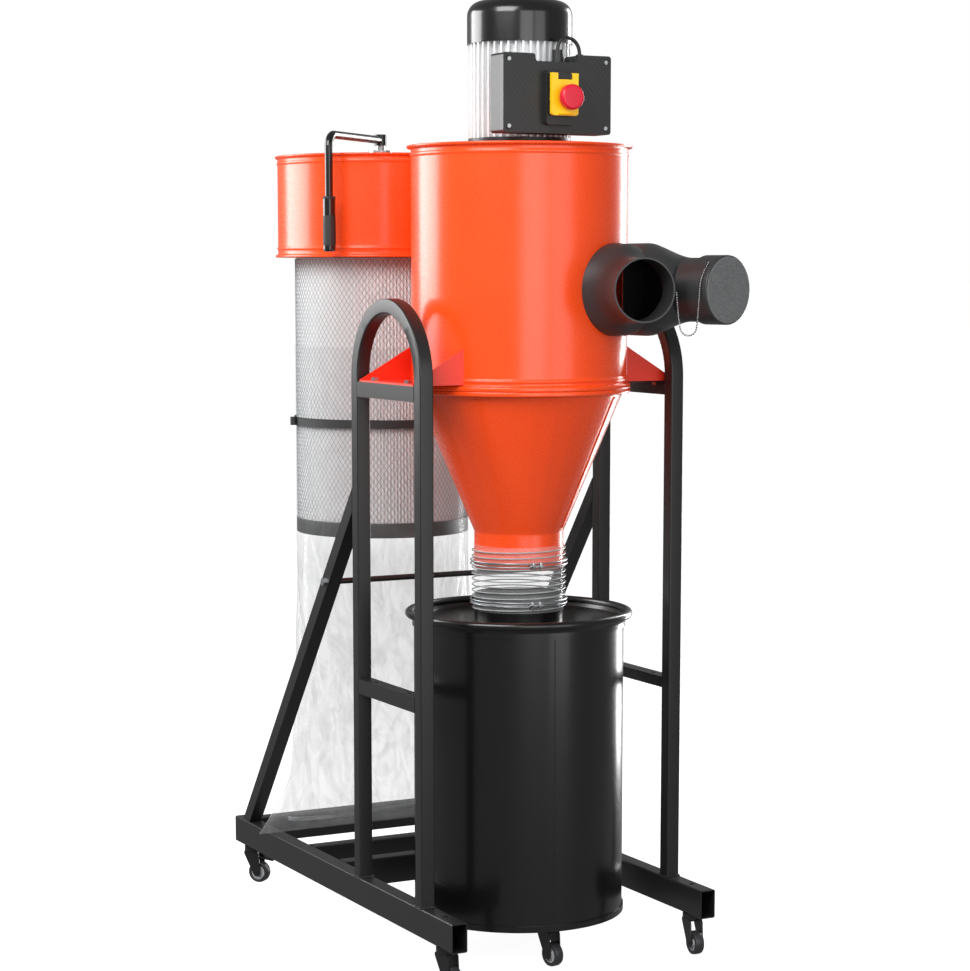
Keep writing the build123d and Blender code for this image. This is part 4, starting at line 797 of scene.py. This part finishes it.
# ----------------------------------------------
# Switch. Black plate with a green and a red button behind a yellow flap; the red mushroom on
# the flap presses the stop button. All moulded, in ABS and nylon.
# ----------------------------------------------
cad_piece("switch_housing", "switch_plate", abs_black, "black_plastic")
green, _, _ = finish_material("green moulded nylon", "#1F8A3C", "#25923F", 0.35, 0.9, 0.02, 18.0)
red, _, _ = finish_material("red moulded nylon", "#D9112F", "#E21B3A", 0.3, 0.9, 0.02, 18.0)
yellow, _, _ = finish_material("yellow moulded ABS", "#FFCC0F", "#FFD31F", 0.32, 0.9, 0.02, 24.0)
cad_piece("start_button", "start_button_cap", green, "green_plastic")
cad_piece("stop_button", "stop_button_cap", red, "red_plastic")
cad_piece("switch_flap", "switch_flap_moulding", yellow, "yellow_plastic")
cad_piece("stop_mushroom", "stop_mushroom_head", red, "red_plastic", 45.0)

flap_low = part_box("switch_flap")[0]
lip_x = np.linspace(-14, 14, 24)[None, :]
lip_turn = np.linspace(0, 2 * np.pi, 12, endpoint=False)[:, None]
lip_points = np.stack([lip_x + 0 * lip_turn, flap_low.y * 1000 + 0.5 + 3.2 * np.cos(lip_turn) + 0 * lip_x,
                       flap_low.z * 1000 + 2.6 + 1.6 * np.sin(lip_turn) + 0 * lip_x], axis=-1) / 1000
lip_points = capped(lip_points.transpose(1, 0, 2))
make_piece("switch_flap_lip", lip_points, grid_faces(26, 12, True), yellow, "switch_flap", "yellow_plastic")


# ----------------------------------------------
# Flexible hose. Clear PVC wall moulded over a wire helix, 10 mm from turn to turn; one end is
# clamped on the cone's spout and the other on the lid's collar.
# ----------------------------------------------
hose_low, hose_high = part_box("flex_hose")
bottom, top = hose_low.z * 1000 + 0.5, hose_high.z * 1000 - 0.5
pitch, wall_r, rib_h, wire_r = 9.6, 75.9, 3.2, 78.1
pvc, _, pvc_bsdf = finish_material("clear PVC", "#F4F6F6", "#FFFFFF", 0.1, 3.0, 0.03, 22.0, IOR=1.52)
pvc_bsdf.inputs["Alpha"].default_value = 0.17
rows, columns = 220, 144
t = np.linspace(0, 2 * np.pi, columns, endpoint=False)[None, :]
z = np.linspace(bottom, top, rows)[:, None]
rib = np.maximum(np.cos(2 * np.pi * z / pitch - t), 0) ** 2
wall = wall_r + rib_h * rib
points = np.stack([wall * np.cos(t), wall * np.sin(t), z + 0 * t], axis=-1) / 1000
hose_skin = make_piece("hose_wall", points, grid_faces(rows, columns, True), pvc, None, "clear_plastic",
                       smooth=80.0)
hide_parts("flex_hose")
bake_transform(hose_skin)

coated, _, _ = finish_material("PVC-coated spring wire", "#8C9193", "#C4C8C9", 0.25, 2.0, 0.01, 20.0,
                               IOR=1.52)
along = np.arange(bottom + 3, top - 3, pitch / 72)
turn = 2 * np.pi * along / pitch
helix = np.stack([wire_r * np.cos(turn), wire_r * np.sin(turn), along], axis=-1) / 1000
hose_wire = make_piece("hose_wire", *tube(helix, 0.0011, 8), coated, None, "clear_plastic", smooth=80.0)
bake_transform(hose_wire)


# ----------------------------------------------
# Hose clamps. Two turns of zinc-plated spring wire drawn together by one cross-head screw
# through a pair of small blocks.
# ----------------------------------------------
def hose_clamp(name, node, height_mm, angle, body):
    """Two wire rings round the hose, two blocks where they meet, and the screw that joins the blocks."""
    turn = np.radians(np.linspace(0, 360, 160, endpoint=False))
    parts = []
    for lift in (-3.1, 3.1):
        ring = np.stack([80.6 * np.cos(turn), 80.6 * np.sin(turn),
                         height_mm + lift + 0.7 * np.sin(turn + lift)], axis=-1) / 1000
        parts.append(tube(ring, 0.0012, 10, True))
    side = np.radians(angle)
    outward, across = np.array([np.cos(side), np.sin(side), 0]), np.array([-np.sin(side), np.cos(side), 0])
    for place in (-6.5, 6.5):
        centre = (outward * 82.6 + across * place + np.array([0, 0, height_mm])) / 1000
        post = centre + np.linspace(-0.0056, 0.0056, 7)[:, None] * np.array([0, 0, 1.0])
        parts.append(tube(post, np.array([1.9, 2.5, 2.7, 2.7, 2.7, 2.5, 1.9]) / 1000, 14))
    screw = (outward * 83.4 + across * np.linspace(-13.0, 12.0, 12)[:, None]
             + np.array([0, 0, height_mm])) / 1000
    radius = np.array([3.4, 3.4, 3.2, 1.5, 1.5, 1.5, 1.5, 1.5, 1.5, 1.5, 1.5, 1.4]) / 1000
    parts.append(tube(screw, radius, 14))
    piece = make_piece(name, *joined(parts), zinc, body, "zinc", smooth=45.0, merge=True)
    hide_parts(node)


hose_clamp("upper_clamp_wire", "upper_hose_clamp", 657.0, -97.0, "machine")
hose_clamp("lower_clamp_wire", "lower_hose_clamp", 592.0, -98.0, "drum_lid")


# ----------------------------------------------
# Drum and lid. Steel drum in gloss black with a rolled chime and one upright weld; the lid is a
# pressed dish with a rolled edge that drops over the drum's curl, and a short collar.
# ----------------------------------------------
drum_black, _, drum_bsdf = finish_material("gloss black drum enamel", "#050505", "#090909", 0.3, 3.5, 0.008,
                                           140.0, IOR=1.5)
drum_bsdf.inputs["Coat Weight"].default_value = 0.3
drum_bsdf.inputs["Coat Roughness"].default_value = 0.15
cad_piece("drum_lid", "drum_lid_pressing", drum_black, "black_paint", 50.0)
cad_piece("drum_shell", "drum_body", drum_black, "black_paint", 50.0)
weld_z = np.linspace(79, 548, 200)[:, None]
weld_a = np.radians(-98.9) + np.linspace(-1.6, 1.6, 7)[None, :] / 176.0
weld_r = 176.05 + 0.35 * (1 - (np.linspace(-1, 1, 7)[None, :]) ** 2) * (0.75 + 0.25 * np.sin(weld_z / 1.3))
points = np.stack([weld_r * np.cos(weld_a), weld_r * np.sin(weld_a), weld_z + 0 * weld_a], axis=-1) / 1000
make_piece("drum_side_weld", points, grid_faces(200, 7, False), drum_black, "drum", "black_paint",
           outward=False)


# ----------------------------------------------
# Castors. Black-plated pressed forks on swivel races; polyurethane tyres on light grey nylon
# centres, with a plated axle. The two at the back have a foot brake.
# ----------------------------------------------
tyre, _, _ = finish_material("dark polyurethane tyre", "#2B2B2D", "#343437", 0.4, 0.8, 0.03, 8.0)
centre_grey, _, _ = finish_material("light grey nylon wheel centre", "#A9ABAD", "#B9BBBD", 0.45, 0.8, 0.02,
                                    8.0)
fork_black, _, _ = finish_material("black electroplated steel", "#151516", "#202021", 0.34, 1.2, 0.02, 10.0,
                                   IOR=1.5)
tyre_profile = [(13.3, -7.0), (14.5, -8.1), (17.2, -8.4), (19.0, -7.4), (19.9, -5.0), (20.0, 0.0),
                (19.9, 5.0), (19.0, 7.4), (17.2, 8.4), (14.5, 8.1), (13.3, 7.0)]
core_profile = [(3.05, -6.4), (6.4, -6.6), (7.0, -6.2), (7.4, -4.6), (11.0, -4.4), (11.8, -6.4),
                (13.4, -6.6), (13.4, 6.6), (11.8, 6.4), (11.0, 4.4), (7.4, 4.6), (7.0, 6.2), (6.4, 6.6),
                (3.05, 6.4)]
fork_names = ["front_left", "rear_left", "front_right", "rear_right", "drum_1", "drum_2", "drum_3"]
for castor in fork_names:
    fork_node, wheel_node = castor + "_fork", castor + "_wheel"
    if castor.startswith("drum"):
        fork_node, wheel_node = "drum_fork_" + castor[-1], "drum_wheel_" + castor[-1]
    cad_piece(fork_node, castor + "_castor_fork", fork_black, "black_paint")
    roll = [j for j in frame["joints"] if j["child"] == frame["nodes"][wheel_node]["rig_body"]][0]
    axle = np.array(roll["axis"], float)
    upright = np.array([0, 0, 1.0])
    level = np.cross(axle, upright)
    for part, profile, finish, slot_name in (("tyre", tyre_profile, tyre, "black_rubber"),
                                             ("centre", core_profile, centre_grey, "charcoal_plastic")):
        points, faces = turned(profile, 64, (0, 0), True)
        points = (np.array(roll["pos_m"]) + points[..., :1] * level + points[..., 1:2] * upright
                  + points[..., 2:3] * axle)
        wheel = make_piece(castor + "_wheel_" + part, points, faces, finish, roll["child"], slot_name)
        if part == "tyre":
            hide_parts(wheel_node)
cad_piece("rear_left_brake", "rear_left_brake_pedal", fork_black, "black_plastic")
cad_piece("rear_right_brake", "rear_right_brake_pedal", fork_black, "black_plastic")


# ----------------------------------------------
# Floor and light. White floor, and a surround that is white to the camera and lights the machine
# at a quarter; soft strips at both sides, a wide one over the front left, two weak ones in front.
# ----------------------------------------------
floor_mesh = bpy.data.meshes.new("studio_floor")
floor_mesh.from_pydata([(-30, -30, 0), (30, -30, 0), (30, 60, 0), (-30, 60, 0)], [], [(0, 1, 2, 3)])
floor = bpy.data.objects.new("studio_floor", floor_mesh)
bpy.context.scene.collection.objects.link(floor)
floor_white, _, floor_bsdf = finish_material("white studio floor", "#8E8E8E", "#8A8A8A", 0.9, 30.0, 0.0,
                                             900.0)
floor_bsdf.inputs["Emission Color"].default_value = (1.0, 1.0, 1.0, 1.0)
floor_bsdf.inputs["Emission Strength"].default_value = 0.95
floor_mesh.materials.append(floor_white)
floor.visible_glossy = False
floor.visible_diffuse = False

world = bpy.data.worlds.new("studio")
world.use_nodes = True
bpy.context.scene.world = world
world_tree = world.node_tree
world_tree.nodes.clear()
path_kind = add(world_tree, "ShaderNodeLightPath")
level = add(world_tree, "ShaderNodeMapRange", {"Value": path_kind.outputs["Is Camera Ray"], "To Min": 0.25,
                                               "To Max": 1.0})
backdrop = add(world_tree, "ShaderNodeBackground", {"Color": (1.0, 1.0, 1.0, 1.0),
                                                    "Strength": level.outputs["Result"]})
add(world_tree, "ShaderNodeOutputWorld", {"Surface": backdrop.outputs["Background"]})


def softbox(name, place, aim, wide, tall, power):
    """A rectangular soft light at a place, facing a point; sizes in metres, power in watts."""
    data = bpy.data.lights.new(name, "AREA")
    data.shape, data.size, data.size_y, data.energy = "RECTANGLE", wide, tall, power
    lamp = bpy.data.objects.new(name, data)
    lamp.location = place
    lamp.rotation_euler = (Vector(aim) - Vector(place)).to_track_quat("-Z", "Y").to_euler()
    bpy.context.scene.collection.objects.link(lamp)


middle_point = np.array([0.0, 0.15, 0.8])
ahead, rightward = np.array([0.4608, 0.8778, 0.0]), np.array([0.8854, -0.4648, 0.0])
for name, forward, side, lift, wide, tall, power in (
        ("left_strip", 0.7, -2.1, 0.8, 1.5, 1.3, 48.0), ("right_strip", 1.9, 1.7, 0.3, 0.6, 2.6, 70.0),
        ("front_strip", -2.3, 2.1, 0.3, 1.2, 2.2, 15.0), ("front_top", -2.6, -1.5, 2.2, 2.4, 1.8, 125.0),
        ("front_fill", -3.4, 0.9, 0.5, 1.6, 2.0, 26.0)):
    softbox(name, middle_point + ahead * forward + rightward * side + np.array([0, 0, lift]), middle_point,
            wide, tall, power)
